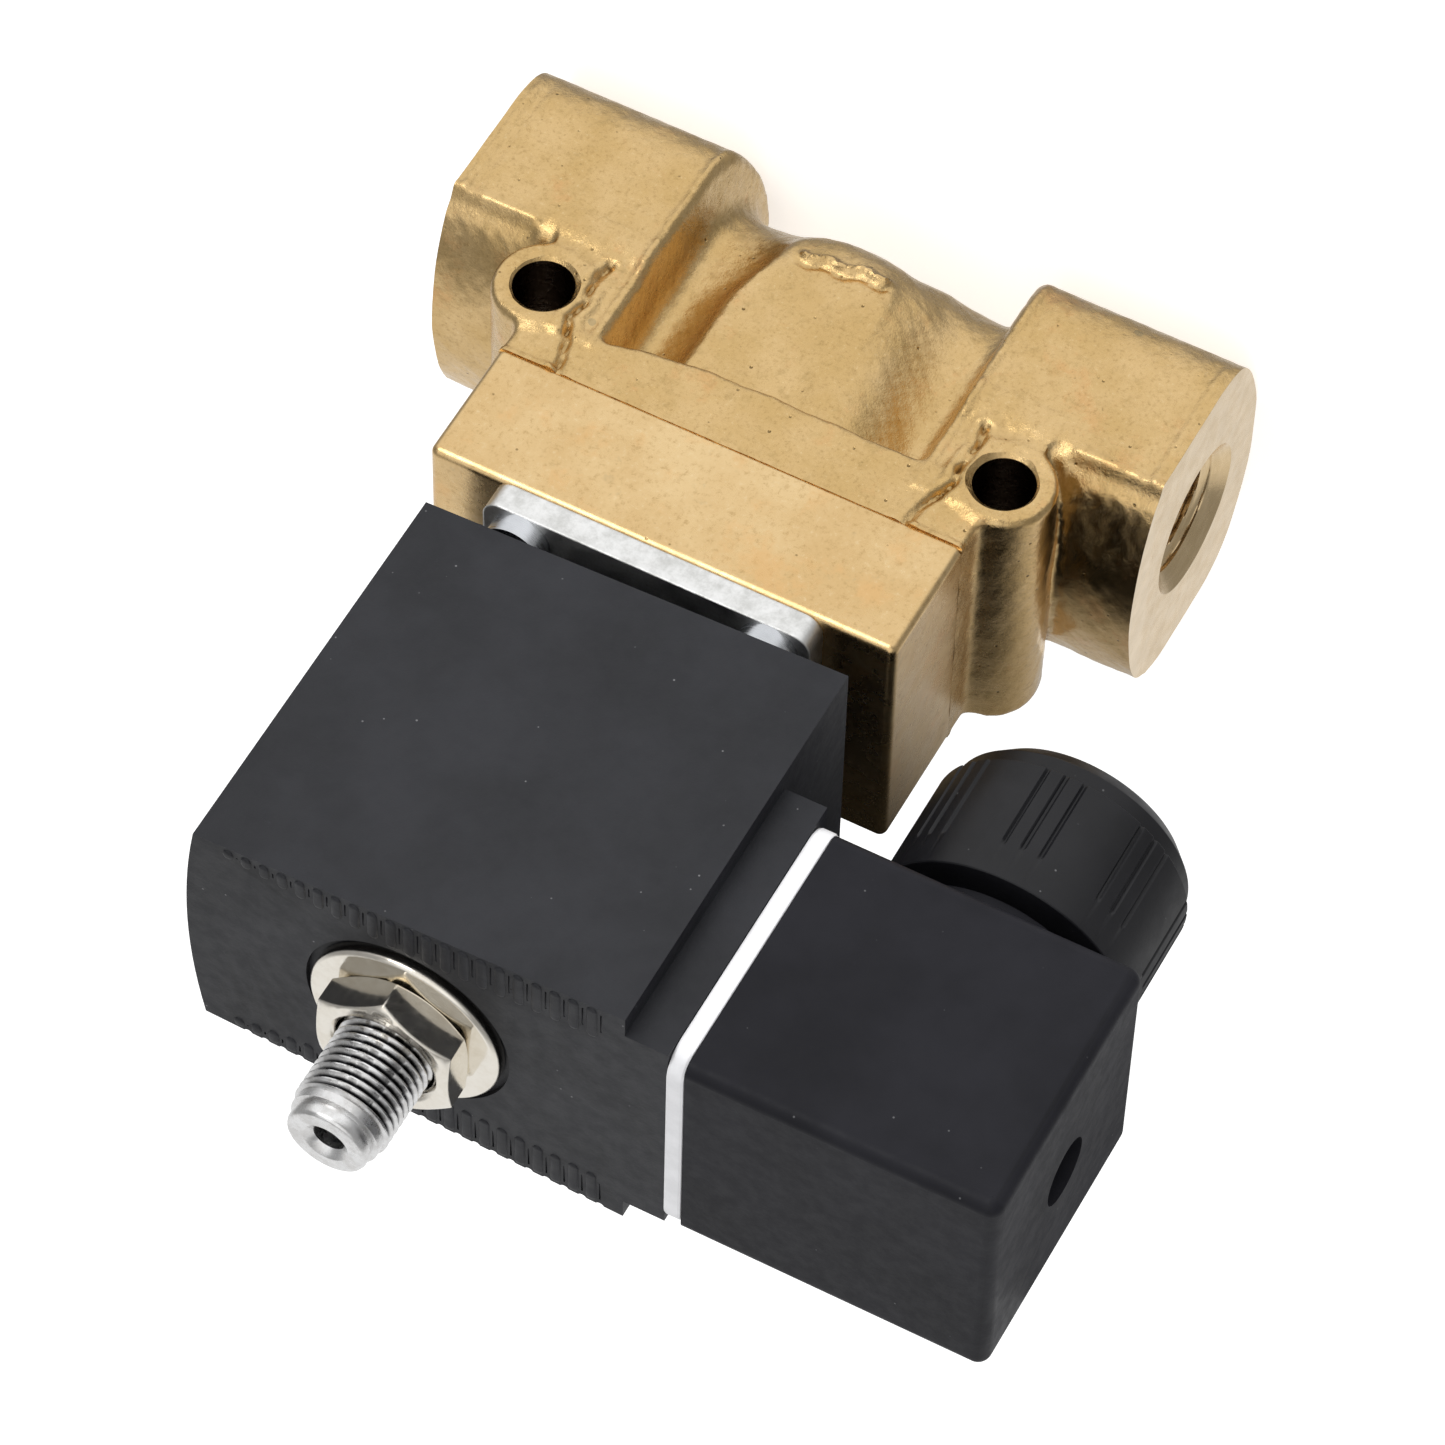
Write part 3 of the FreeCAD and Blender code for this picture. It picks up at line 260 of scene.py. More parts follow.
def surface(name, distance, corner_low, corner_high, step):
    """Mesh of the zero surface of a distance field, by surface nets and projection."""
    axes = [np.arange(a, b + step, step) for a, b in zip(corner_low, corner_high)]
    grid = np.meshgrid(*axes, indexing="ij")
    field = distance(*grid)
    inside = field < 0
    shape = [len(axis) - 1 for axis in axes]
    corners = [(i, j, k) for i in (0, 1) for j in (0, 1) for k in (0, 1)]

    def shifted(array, offset):
        return array[tuple(slice(o, o + n) for o, n in zip(offset, shape))]

    count = sum(shifted(inside, offset).astype(np.int8) for offset in corners)
    active = (count > 0) & (count < 8)
    cells = np.argwhere(active)
    number = np.full(shape, -1, np.int64)
    number[active] = np.arange(len(cells))
    total = np.zeros((len(cells), 3))
    hits = np.zeros(len(cells))
    for axis in range(3):
        for offset in corners:
            if offset[axis]:
                continue
            other = list(offset)
            other[axis] = 1
            a = field[tuple((cells + offset).T)]
            b = field[tuple((cells + other).T)]
            crossing = (a < 0) != (b < 0)
            share = np.where(crossing, a / np.where(crossing, a - b, 1), 0)
            point = np.asarray(offset, float)[None].repeat(len(cells), 0)
            point[:, axis] += share
            total += point * crossing[:, None]
            hits += crossing
    points = np.asarray(corner_low) + (cells + total / hits[:, None]) * step
    faces = []
    for axis in range(3):
        u, v = (axis + 1) % 3, (axis + 2) % 3
        near = [slice(1, -1)] * 3
        near[axis] = slice(0, -1)
        far = [slice(1, -1)] * 3
        far[axis] = slice(1, None)
        change = inside[tuple(near)] != inside[tuple(far)]
        where = np.argwhere(change)
        where[:, u] += 1
        where[:, v] += 1
        outward = inside[tuple(where.T)]
        quad = []
        for du, dv in ((-1, -1), (0, -1), (0, 0), (-1, 0)):
            cell = where.copy()
            cell[:, u] += du
            cell[:, v] += dv
            quad.append(number[tuple(cell.T)])
        quad = np.stack(quad, -1)
        quad[~outward] = quad[~outward][:, ::-1]
        faces.append(quad)
    reach = 0.05
    for _ in range(3):
        value = distance(*points.T)
        slope = np.stack([distance(*(points + reach * unit).T) - distance(*(points - reach * unit).T)
                          for unit in np.eye(3)], -1) / (2 * reach)
        length = np.maximum((slope ** 2).sum(-1), 0.1)
        points = points - slope * np.clip(value / length, -step, step)[:, None]
    return new_object(name, points, np.concatenate(faces).tolist())


# ---------------------------------------------------------------- measures in millimetres

# The body's faces come from the frame. The rest are its forged and machined sizes, and those of
# the nipple's thread (CREST) and of the collar above it (COLLAR).
body_low, body_high = low("valve_body"), high("valve_body")
JOINT = body_high.z
PORT_AXIS = -16.0
PORT_FACE = body_high.x
BASE = body_low.z
HALF_FLANGE = 25.0
FLANGE_FRONT = 15.5
BLOCK_FRONT = body_high.y
CROWN_TOP = -1.6
CROWN_RADIUS = 30.0
KEEL_RADIUS = 24.0
KEEL_CREST = 29.43
DOME_X = -1.2
HOLE_X = 25.0
HOLE_RADIUS = 3.1
BOSS_RADIUS = 5.2
PORT_CORE = 5.72
PORT_DEPTH = 12.5
PORT_PITCH = 1.337
MOUTH_RADIUS = 8.0
PASSAGE = 4.5
CHAMBER = 11.5
CHAMBER_FLOOR = JOINT - 15.0
SEAT_OUTER = 6.3
CREST = 4.93
COLLAR = high("core_nipple").z - 2.7

# ---------------------------------------------------------------- materials


class Paint:
    """A material's node tree, with short calls for the nodes that the finishes share."""

    def __init__(self, name, colour, metallic=0.0, roughness=0.5):
        self.material = bpy.data.materials.new(name)
        self.material.use_nodes = True
        self.tree = self.material.node_tree
        self.shader = self.tree.nodes["Principled BSDF"]
        self.shader.inputs["Base Color"].default_value = (*colour, 1)
        self.shader.inputs["Metallic"].default_value = metallic
        self.shader.inputs["Roughness"].default_value = roughness
        where = self.node("ShaderNodeTexCoord")
        scale = self.node("ShaderNodeVectorMath", operation="SCALE")
        scale.inputs["Scale"].default_value = 1 / MM
        self.link(where.outputs["Object"], scale.inputs[0])
        self.place = scale.outputs[0]

    def node(self, kind, **settings):
        """New node with its settings."""
        made = self.tree.nodes.new(kind)
        for key, value in settings.items():
            setattr(made, key, value)
        return made

    def link(self, source, target):
        """Join an output to an input."""
        self.tree.links.new(source, target)

    def set(self, socket, source):
        """Drive one of the shader's inputs."""
        self.link(source, self.shader.inputs[socket])

    def fixed(self, **values):
        """Give the shader's inputs fixed values."""
        for name, value in values.items():
            self.shader.inputs[name.replace("_", " ")].default_value = value

    def noise(self, per_mm, detail=3.0, roughness=0.55, stretch=(1, 1, 1)):
        """Noise value, with its features' frequency per millimetre."""
        made = self.node("ShaderNodeTexNoise")
        made.inputs["Scale"].default_value = per_mm
        made.inputs["Detail"].default_value = detail
        made.inputs["Roughness"].default_value = roughness
        self.link(self.stretched(stretch), made.inputs["Vector"])
        return made.outputs[0]

    def axes(self):
        """The place's X, Y and Z in millimetres, by name."""
        split = self.node("ShaderNodeSeparateXYZ")
        self.link(self.place, split.inputs[0])
        return split.outputs

    def stretched(self, stretch):
        """The place with its frequency changed along each axis."""
        if tuple(stretch) == (1, 1, 1):
            return self.place
        made = self.node("ShaderNodeVectorMath", operation="MULTIPLY")
        made.inputs[1].default_value = stretch
        self.link(self.place, made.inputs[0])
        return made.outputs[0]

    def cells(self, per_mm):
        """Distance to scattered points, for pits, specks and spots."""
        made = self.node("ShaderNodeTexVoronoi")
        made.inputs["Scale"].default_value = per_mm
        self.link(self.place, made.inputs["Vector"])
        return made

    def ramp(self, source, low_in, high_in, low_out=0.0, high_out=1.0):
        """Soft step between two levels."""
        made = self.node("ShaderNodeMapRange", interpolation_type="SMOOTHSTEP")
        for key, value in zip(("From Min", "From Max", "To Min", "To Max"),
                              (low_in, high_in, low_out, high_out)):
            made.inputs[key].default_value = value
        self.link(source, made.inputs["Value"])
        return made.outputs[0]

    def maths(self, operation, first, second):
        """Arithmetic on two values, each a number or an output."""
        made = self.node("ShaderNodeMath", operation=operation)
        for socket, value in zip(made.inputs, (first, second)):
            if isinstance(value, (int, float)):
                socket.default_value = value
            else:
                self.link(value, socket)
        return made.outputs[0]

    def mix(self, factor, first, second):
        """Colour mixed by a factor."""
        made = self.node("ShaderNodeMix", data_type="RGBA")
        self.link(factor, made.inputs["Factor"])
        for socket, value in ((made.inputs[6], first), (made.inputs[7], second)):
            if isinstance(value, tuple):
                socket.default_value = (*value, 1)
            else:
                self.link(value, socket)
        return made.outputs[2]

    def edges(self, low_in=0.5, high_in=0.56):
        """One along convex edges."""
        return self.ramp(self.node("ShaderNodeNewGeometry").outputs["Pointiness"], low_in, high_in)

    def bump(self, height, depth_mm, strength=1.0, under=None):
        """Normal bent by a height pattern, on top of another normal where one is given."""
        made = self.node("ShaderNodeBump")
        made.inputs["Strength"].default_value = strength
        made.inputs["Distance"].default_value = depth_mm * MM
        self.link(height, made.inputs["Height"])
        if under is not None:
            self.link(under, made.inputs["Normal"])
        return made.outputs[0]

    def lamp_edge(self, radius_mm):
        """Normal that rounds sharp edges a little."""
        made = self.node("ShaderNodeBevel", samples=4)
        made.inputs["Radius"].default_value = radius_mm * MM
        return made.outputs[0]


def bore_mask(p, centre, radius):
    """One inside the cross-drilled holes, which lie along Y at plus and minus the centre."""
    axes = p.axes()
    across = p.maths("SUBTRACT", p.maths("ABSOLUTE", axes["X"], 0.0), centre)
    square = p.maths("MULTIPLY", across, across)
    upward = p.maths("MULTIPLY", axes["Z"], axes["Z"])
    return p.maths("LESS_THAN", p.maths("ADD", square, upward), radius ** 2)


def cut_mask(p):
    """One on the milled port faces and in the threaded ports."""
    axes = p.axes()
    along = p.maths("ABSOLUTE", axes["X"], 0.0)
    face = p.maths("GREATER_THAN", along, PORT_FACE - 0.02)
    upward = p.maths("SUBTRACT", axes["Z"], PORT_AXIS)
    squares = [p.maths("MULTIPLY", part, part) for part in (axes["Y"], upward)]
    inside = p.maths("LESS_THAN", p.maths("ADD", *squares), (MOUTH_RADIUS + 0.02) ** 2)
    port = p.maths("MULTIPLY", inside, p.maths("GREATER_THAN", along, PORT_FACE - PORT_DEPTH - 1.5))
    return p.maths("MAXIMUM", face, port)


def rubbed_mask(p):
    """One on the tops of the port blocks, which are rubbed smooth."""
    axes = p.axes()
    along = p.ramp(p.maths("ABSOLUTE", axes["X"], 0.0), 27.0, 31.0)
    return p.maths("MULTIPLY", along, p.ramp(axes["Z"], -6.0, -4.4))


def cast_brass():
    """Forged and blasted brass: fine grain, pits, a few grey spots and reddish patches, with painted
    shade in its hollows and in its mounting holes.
    """
    p = Paint("cast_brass", (0.66, 0.45, 0.20), 1.0, 0.4)
    patches = p.noise(0.13, 4.0, 0.62)
    grain = p.noise(2.2, 4.0, 0.75)
    mottle = p.noise(0.75, 5.0, 0.75)
    colour = p.mix(p.ramp(patches, 0.32, 0.70), (0.615, 0.415, 0.175), (0.70, 0.49, 0.235))
    red = p.ramp(p.noise(0.16, 5.0, 0.7), 0.56, 0.70)
    colour = p.mix(p.maths("MULTIPLY", red, 0.5), colour, (0.68, 0.38, 0.155))
    colour = p.mix(p.ramp(mottle, 0.50, 0.72, 0.0, 0.45), colour, (0.40, 0.27, 0.105))
    colour = p.mix(p.ramp(grain, 0.50, 0.72, 0.0, 0.45), colour, (0.33, 0.20, 0.07))
    colour = p.mix(p.ramp(grain, 0.42, 0.28, 0.0, 0.40), colour, (0.86, 0.68, 0.40))
    spots = p.cells(0.075)
    spot_size = p.maths("MULTIPLY", p.noise(0.35, 2.0), 0.085)
    spot = p.maths("LESS_THAN", spots.outputs["Distance"], spot_size)
    colour = p.mix(p.maths("MULTIPLY", spot, 0.45), colour, (0.30, 0.26, 0.16))
    pits = p.ramp(p.cells(0.62).outputs["Distance"], 0.05, 0.13, 1.0, 0.0)
    pits = p.maths("MULTIPLY", pits, p.ramp(p.noise(0.5, 2.0), 0.48, 0.60))
    colour = p.mix(p.maths("MULTIPLY", pits, 0.75), colour, (0.14, 0.08, 0.02))
    # painted shade: darker brown in concave hollows, found by pointiness
    colour = p.mix(p.maths("MULTIPLY", p.edges(0.485, 0.40), 0.85), colour, (0.19, 0.11, 0.035))
    # painted shade: inside the mounting holes the brass is painted near black
    bore_shade = bore_mask(p, HOLE_X, HOLE_RADIUS + 0.02)
    colour = p.mix(p.maths("MULTIPLY", bore_shade, 0.9), colour, (0.055, 0.026, 0.012))
    cut = cut_mask(p)
    tool_marks = p.ramp(p.noise(0.9, 3.0, 0.6, (4.0, 0.4, 0.4)), 0.35, 0.7)
    milled = p.mix(tool_marks, (0.68, 0.51, 0.29), (0.76, 0.58, 0.345))
    p.set("Base Color", p.mix(cut, colour, milled))
    rubbed = rubbed_mask(p)
    rough = p.ramp(p.noise(0.5, 4.0, 0.65), 0.3, 0.7, 0.20, 0.32)
    p.set("Roughness", p.maths("SUBTRACT", rough, p.maths("MULTIPLY", rubbed, 0.10)))
    height = p.maths("SUBTRACT", p.maths("MULTIPLY", grain, 0.8), pits)
    height = p.maths("ADD", height, mottle)
    calm = p.maths("MAXIMUM", p.maths("MULTIPLY", rubbed, 0.65), p.maths("MULTIPLY", cut, 0.9))
    height = p.maths("MULTIPLY", height, p.maths("SUBTRACT", 1.0, calm))
    p.set("Normal", p.bump(height, 0.09, 0.8))
    return p.material


def machined_brass():
    """Milled brass with fine scratches, small dents and a few dark blots."""
    p = Paint("machined_brass", (0.72, 0.52, 0.26), 1.0, 0.3)
    patches = p.noise(0.10, 4.0, 0.6)
    colour = p.mix(p.ramp(patches, 0.32, 0.7), (0.69, 0.475, 0.225), (0.78, 0.57, 0.30))
    mottle = p.noise(1.1, 6.0, 0.78)
    colour = p.mix(p.ramp(mottle, 0.50, 0.70, 0.0, 0.60), colour, (0.44, 0.28, 0.11))
    colour = p.mix(p.ramp(mottle, 0.46, 0.28, 0.0, 0.45), colour, (0.90, 0.74, 0.47))
    tint = p.ramp(p.noise(0.17, 4.0, 0.7), 0.52, 0.68, 0.0, 0.45)
    colour = p.mix(tint, colour, (0.78, 0.47, 0.20))
    speck = p.ramp(p.cells(0.42).outputs["Distance"], 0.03, 0.085, 1.0, 0.0)
    speck = p.maths("MULTIPLY", speck, p.ramp(p.noise(0.35, 2.0), 0.44, 0.54))
    colour = p.mix(p.maths("MULTIPLY", speck, 0.8), colour, (0.26, 0.17, 0.07))
    blot = p.ramp(p.noise(0.30, 4.0, 0.65), 0.64, 0.72)
    colour = p.mix(p.maths("MULTIPLY", blot, 0.35), colour, (0.52, 0.40, 0.22))
    p.set("Base Color", colour)
    grain = p.noise(3.0, 3.0, 0.7)
    p.set("Roughness", p.ramp(p.noise(0.3, 4.0, 0.6), 0.3, 0.7, 0.22, 0.33))
    lines = p.noise(1.0, 2.0, 0.5, (0.3, 0.3, 6.0))
    height = p.maths("ADD", p.maths("MULTIPLY", grain, 0.5), p.maths("MULTIPLY", lines, 0.2))
    height = p.maths("SUBTRACT", height, speck)
    p.set("Normal", p.bump(height, 0.05, 0.6, p.lamp_edge(0.25)))
    return p.material


def turned_metal(name, colour, roughness, lines=5.0, depth=0.02):
    """Turned metal with rings round its axis."""
    p = Paint(name, colour, 1.0, roughness)
    rings = p.noise(lines, 2.0, 0.6, (0.05, 0.05, 1.0))
    smear = p.noise(0.35, 2.0, 0.5)
    dark = tuple(part * 0.84 for part in colour)
    p.set("Base Color", p.mix(p.ramp(smear, 0.3, 0.75), colour, dark))
    p.set("Roughness", p.ramp(rings, 0.3, 0.7, roughness * 0.75, roughness * 1.3))
    p.set("Normal", p.bump(rings, depth, 0.5))
    return p.material


def threaded_steel():
    """Turned stainless steel with painted shade in the thread roots."""
    p = Paint("threaded_steel", (0.70, 0.70, 0.71), 1.0, 0.26)
    axes = p.axes()
    squares = [p.maths("MULTIPLY", axes[axis], axes[axis]) for axis in ("X", "Y")]
    radius = p.maths("SQRT", p.maths("ADD", *squares), 0.0)
    # painted shade: near black in the thread roots, found by radius below the crest
    root_shade = p.ramp(radius, CREST - 0.20, CREST - 0.52)
    on_thread = p.maths("LESS_THAN", axes["Z"], COLLAR - 0.15)
    smear = p.ramp(p.noise(0.8, 4.0, 0.65), 0.35, 0.7)
    colour = p.mix(smear, (0.82, 0.82, 0.82), (0.66, 0.65, 0.64))
    p.set("Base Color", p.mix(p.maths("MULTIPLY", root_shade, on_thread), colour, (0.06, 0.06, 0.065)))
    p.set("Roughness", p.ramp(p.noise(0.6, 3.0), 0.3, 0.7, 0.20, 0.34))
    p.set("Normal", p.bump(p.noise(1.6, 4.0, 0.7), 0.03, 0.5))
    return p.material


def satin_plate():
    """Stainless sheet, tumbled, with cloudy stains."""
    p = Paint("stainless_satin", (0.72, 0.72, 0.70), 1.0, 0.35)
    cloud = p.noise(0.45, 5.0, 0.7)
    p.set("Base Color", p.mix(p.ramp(cloud, 0.35, 0.7), (0.86, 0.86, 0.85), (0.62, 0.62, 0.60)))
    p.set("Roughness", p.ramp(cloud, 0.3, 0.7, 0.28, 0.48))
    p.set("Normal", p.bump(p.noise(2.2, 4.0, 0.7), 0.05, 0.5, p.lamp_edge(0.3)))
    return p.material


def nickel_plate():
    """Nickel plating, warm and bright, with faint marks."""
    p = Paint("nickel_plate", (0.84, 0.80, 0.72), 1.0, 0.13)
    smear = p.noise(0.5, 4.0, 0.6)
    p.set("Base Color", p.mix(p.ramp(smear, 0.35, 0.75), (0.86, 0.82, 0.74), (0.80, 0.75, 0.66)))
    p.set("Roughness", p.ramp(p.noise(1.1, 4.0, 0.7), 0.3, 0.75, 0.10, 0.20))
    p.set("Normal", p.bump(p.noise(0.9, 3.0, 0.6), 0.02, 0.4, p.lamp_edge(0.22)))
    return p.material


def moulded_plastic(name, colour, roughness, grain=0.012, dust=0.35, gloss=0.5):
    """Moulded plastic with a fine skin, faint flow marks, specks of dust, and convex edges lightened by
    wear and a painted highlight.
    """
    p = Paint(name, colour, 0.0, roughness)
    p.fixed(IOR=1.46, Specular_IOR_Level=gloss)
    flow = p.noise(0.07, 3.0, 0.6)
    light = tuple(part * 1.3 + 0.002 for part in colour)
    dark = tuple(part * 0.6 for part in colour)
    shade_of = p.mix(p.ramp(flow, 0.3, 0.7), dark, light)
    scuff = p.ramp(p.noise(1.3, 6.0, 0.8), 0.60, 0.74, 0.0, 0.30)
    shade_of = p.mix(scuff, shade_of, tuple(part * 2.6 + 0.004 for part in colour))
    speck = p.ramp(p.cells(0.5).outputs["Distance"], 0.035, 0.065, 1.0, 0.0)
    speck = p.maths("MULTIPLY", speck, p.ramp(p.noise(0.4, 2.0), 0.50, 0.60))
    shade_of = p.mix(p.maths("MULTIPLY", speck, dust), shade_of, (0.35, 0.35, 0.36))
    # lighter along convex edges: rubbed wear and a painted edge highlight
    rub_and_highlight = p.maths("MULTIPLY", p.edges(0.505, 0.56), 0.25)
    p.set("Base Color", p.mix(rub_and_highlight, shade_of, tuple(part * 2.2 for part in colour)))
    fine = p.noise(5.5, 2.0, 0.6)
    p.set("Roughness", p.ramp(p.noise(0.5, 4.0, 0.7), 0.3, 0.7, roughness * 0.9, roughness * 1.12))
    wavy = p.maths("ADD", p.maths("MULTIPLY", fine, 0.5), p.noise(0.9, 3.0, 0.6))
    p.set("Normal", p.bump(wavy, grain, 0.7))
    return p.material


def soft_material(name, colour, roughness, sheen=0.0, depth=0.02):
    """Rubber and soft sealing materials."""
    p = Paint(name, colour, 0.0, roughness)
    if sheen:
        p.fixed(Sheen_Weight=sheen)
    cloud = p.noise(0.35, 4.0, 0.6)
    p.set("Base Color", p.mix(p.ramp(cloud, 0.3, 0.7), colour, tuple(part * 0.9 for part in colour)))
    p.set("Roughness", p.ramp(cloud, 0.3, 0.7, roughness * 0.9, min(1.0, roughness * 1.1)))
    p.set("Normal", p.bump(p.noise(2.4, 3.0, 0.6), depth, 0.5))
    return p.material


def wire_winding():
    """Enamelled copper wire: fine turns stacked up the winding."""
    p = Paint("enamelled_copper", (0.50, 0.20, 0.08), 0.7, 0.3)
    made = p.node("ShaderNodeTexWave", wave_type="BANDS", bands_direction="Z")
    made.inputs["Scale"].default_value = 1.4
    p.link(p.place, made.inputs["Vector"])
    p.set("Base Color", p.mix(made.outputs["Fac"], (0.22, 0.07, 0.03), (0.62, 0.27, 0.11)))
    p.set("Roughness", p.ramp(p.noise(0.8, 3.0), 0.3, 0.7, 0.24, 0.4))
    p.set("Normal", p.bump(made.outputs["Fac"], 0.08, 0.8))
    return p.material


FINISHES = {
    "cast_brass": cast_brass(),
    "machined_brass": machined_brass(),
    "turned_brass": turned_metal("turned_brass", (0.80, 0.60, 0.28), 0.24),
    "stainless": satin_plate(),
    "turned_stainless": turned_metal("turned_stainless", (0.74, 0.74, 0.75), 0.22),
    "magnetic_steel": turned_metal("magnetic_steel", (0.50, 0.50, 0.51), 0.30),
    "zinc_steel": turned_metal("zinc_steel", (0.66, 0.68, 0.71), 0.26),
    "nickel": nickel_plate(),
    "spring_steel": turned_metal("spring_steel", (0.52, 0.52, 0.54), 0.28, 1.5),
    "copper": turned_metal("copper", (0.86, 0.46, 0.28), 0.26),
    "enamelled_wire": wire_winding(),
    "coil_resin": moulded_plastic("coil_resin", (0.011, 0.0115, 0.0145), 0.52, 0.040, 0.6, 0.40),
    "plug_plastic": moulded_plastic("plug_plastic", (0.008, 0.008, 0.011), 0.50, 0.018, 0.4, 0.20),
    "gland_plastic": moulded_plastic("gland_plastic", (0.006, 0.006, 0.0075), 0.42, 0.018, 0.35, 0.36),
    "insert_plastic": moulded_plastic("insert_plastic", (0.22, 0.23, 0.25), 0.45),
    "bobbin_plastic": moulded_plastic("bobbin_plastic", (0.10, 0.10, 0.105), 0.5),
    "white_silicone": soft_material("white_silicone", (0.94, 0.94, 0.96), 0.45, 0.1),
    "black_rubber": soft_material("black_rubber", (0.022, 0.022, 0.023), 0.55, 0.2),
    "ptfe": soft_material("ptfe", (0.82, 0.81, 0.77), 0.4),
}
slot_of = {row["node"]: row["material_slot"] for row in frame["record"]["subparts"]}
body_of = {member: body for body, members in frame["record"]["behaviour"]["bodies"].items()
           for member in members}


def dress(piece, slot):
    """Give a piece the finish of one of the record's slots."""
    piece.data.materials.clear()
    piece.data.materials.append(FINISHES[slot])


def stand_for(piece, node, angle):
    """Let a worked piece take a CAD node's place, body and finish."""
    shade(piece, angle)
    dress(piece, slot_of[node])
    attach(piece, body_of[node])
    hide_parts(node)
    return piece


for name, node in nodes.items():
    dress(node, slot_of[name])


def eased(node, width, name):
    """A CAD piece with its crisp edges eased by a small bevel."""
    piece = copy_of(node, name)
    work = bmesh.new()
    work.from_mesh(piece.data)
    merge_flat(work)
    work.to_mesh(piece.data)
    work.free()
    bevel = piece.modifiers.new("ease", "BEVEL")
    bevel.width = width * MM
    bevel.segments = 2
    bevel.limit_method = "ANGLE"
    bevel.angle_limit = math.radians(30)
    bevel.use_clamp_overlap = True
    bake_modifiers(piece)
    return stand_for(piece, node, 25)


# ---------------------------------------------------------------- valve body


def ridge(distance, height, width):
    """Height of a soft ridge at a distance from its crest."""
    return height * np.exp(-(distance / width) ** 2)


def fade(value, start, end):
    """Zero before the start, one after the end."""
    share = np.clip((value - start) / (end - start), 0, 1)
    return share * share * (3 - 2 * share)


def path_distance(x, z, path):
    """Distance in a face to a line through points (x, z)."""
    nearest = np.full(np.shape(x), 99.0)
    for (xa, za), (xb, zb) in zip(path, path[1:]):
        along_x, along_z = xb - xa, zb - za
        length = along_x ** 2 + along_z ** 2
        share = np.clip(((x - xa) * along_x + (z - za) * along_z) / length, 0, 1)
        gap = np.hypot(x - xa - share * along_x, z - za - share * along_z)
        nearest = np.minimum(nearest, gap)
    return nearest


def inner_wall(ax, ay):
    """Drafted inner side of the port blocks, also the end of the valley beside the dome."""
    wall_x, draft = 15.1, 1.8
    return wall_x + draft * (ay / FLANGE_FRONT) ** 2 - ax


def port_blocks(ax, y, ay, z):
    """Two crowned blocks with drafted inner walls and a bead along the upper front edge."""
    gusset_end, gusset_foot, gusset_top = 26.4, -9.0, 4.0
    bead_z, step_z, outer_rim_x, inner_rim_x = -6.6, -4.9, 37.6, 17.7
    crown = np.hypot(ay, z - (CROWN_TOP - CROWN_RADIUS)) - CROWN_RADIUS
    keel = np.hypot(ay, z - (KEEL_RADIUS - KEEL_CREST)) - KEEL_RADIUS
    shape = blend_max(ay - BLOCK_FRONT, blend_max(keel, BASE - z, 0.4), 3.4)
    shape = blend_max(shape, crown, 1.6 + 3.6 * fade(-y, 7.0, 14.0))
    near_port = fade(ax, 28.6, 29.8)
    shape = shape - near_port * ridge(z - bead_z, 0.34, 0.60) * fade(ay, 14.4, 15.2)
    shape = shape + near_port * ridge(np.hypot(ay - 15.4, z - step_z), 1.25, 0.95)
    gusset = np.maximum(np.maximum(ay - FLANGE_FRONT, ax - gusset_end),
                        np.maximum(gusset_foot - z, z - gusset_top))
    shape = blend_min(shape, gusset, 1.2)
    shape = blend_max(shape, inner_wall(ax, ay), 1.0)
    rim = fade(ay, 14.5, 15.8) * fade(-z, 6.2, 7.0)
    shape = shape - rim * ridge(ax - outer_rim_x, 0.18, 0.40)
    shape = shape + rim * ridge(ax - outer_rim_x + 1.0, 0.16, 0.38)
    shape = shape - fade(ay, 12, 15.8) * ridge(ax - inner_rim_x, 0.20, 0.42)
    shape = shape + fade(ay, 13, 15.8) * ridge(ax - inner_rim_x - 1.0, 0.10, 0.5)
    return np.maximum(shape, ax - PORT_FACE - 1.0)


def dome(x, y, ay, z):
    """Domed housing of the piston chamber: a flat pad on one side, a rounder bulge on the other."""
    ball_drop, ball_radius = 14.6, 20.0
    half_width, half_depth, squareness = 11.2, 12.2, 2.4
    pad_end, pad_front, bulge_y, bulge_radius = 4.6, 13.6, 7.6, 6.7
    ball = np.sqrt((x - DOME_X) ** 2 + y ** 2 + (z - (JOINT - ball_drop)) ** 2) - ball_radius
    core = (np.abs(x - DOME_X) / half_width) ** squareness + (ay / half_depth) ** squareness
    shape = (core ** (1 / squareness) - 1) * 11.0
    side = half_width - 1.6 * fade(-z, 8.0, 17.0) - 0.55 * (ay - 10.0)
    pad = blend_max(-x - side, x - pad_end, 1.0)
    pad = blend_max(pad * 0.87, ay - pad_front, 0.7)
    pad = np.maximum(pad, 8.0 - ay)
    shape = blend_min(shape, pad, 0.8)
    lean = x - pad_end - 0.20 * (z + 5)
    bulge = np.hypot(lean, (ay - bulge_y) * 1.05) - bulge_radius
    shape = blend_min(shape, bulge, 1.0)
    shape = blend_max(shape, ball, 3.4)
    flash = fade(x, -6.2, -5.2) * fade(-x, -4.4, -3.2) * (1 + 0.25 * np.sin(x * 2.3) * np.sin(x * 4.1))
    line = z + 17.5 + 0.09 * (x + 1) + 0.25 * np.sin(x * 1.7)
    shape = shape - flash * fade(y, 8, 10) * ridge(line, 0.62, 0.45)
    shape = shape + flash * fade(y, 8, 10) * ridge(line - 1.1, 0.25, 0.4)
    return np.maximum(shape, z - JOINT - 1.0)


# points (x, z): the flange's lower edge, and the seam beside each boss
FLANGE_EDGE = [(-17.3, 3.3), (-12.3, 2.0), (-6.4, 1.3), (0.0, 1.1), (17.0, 1.2)]
CRACK = [(20.4, -5.0), (20.9, -2.6), (20.4, 0.2), (20.9, 2.4), (19.7, 5.2), (18.7, 8.9)]


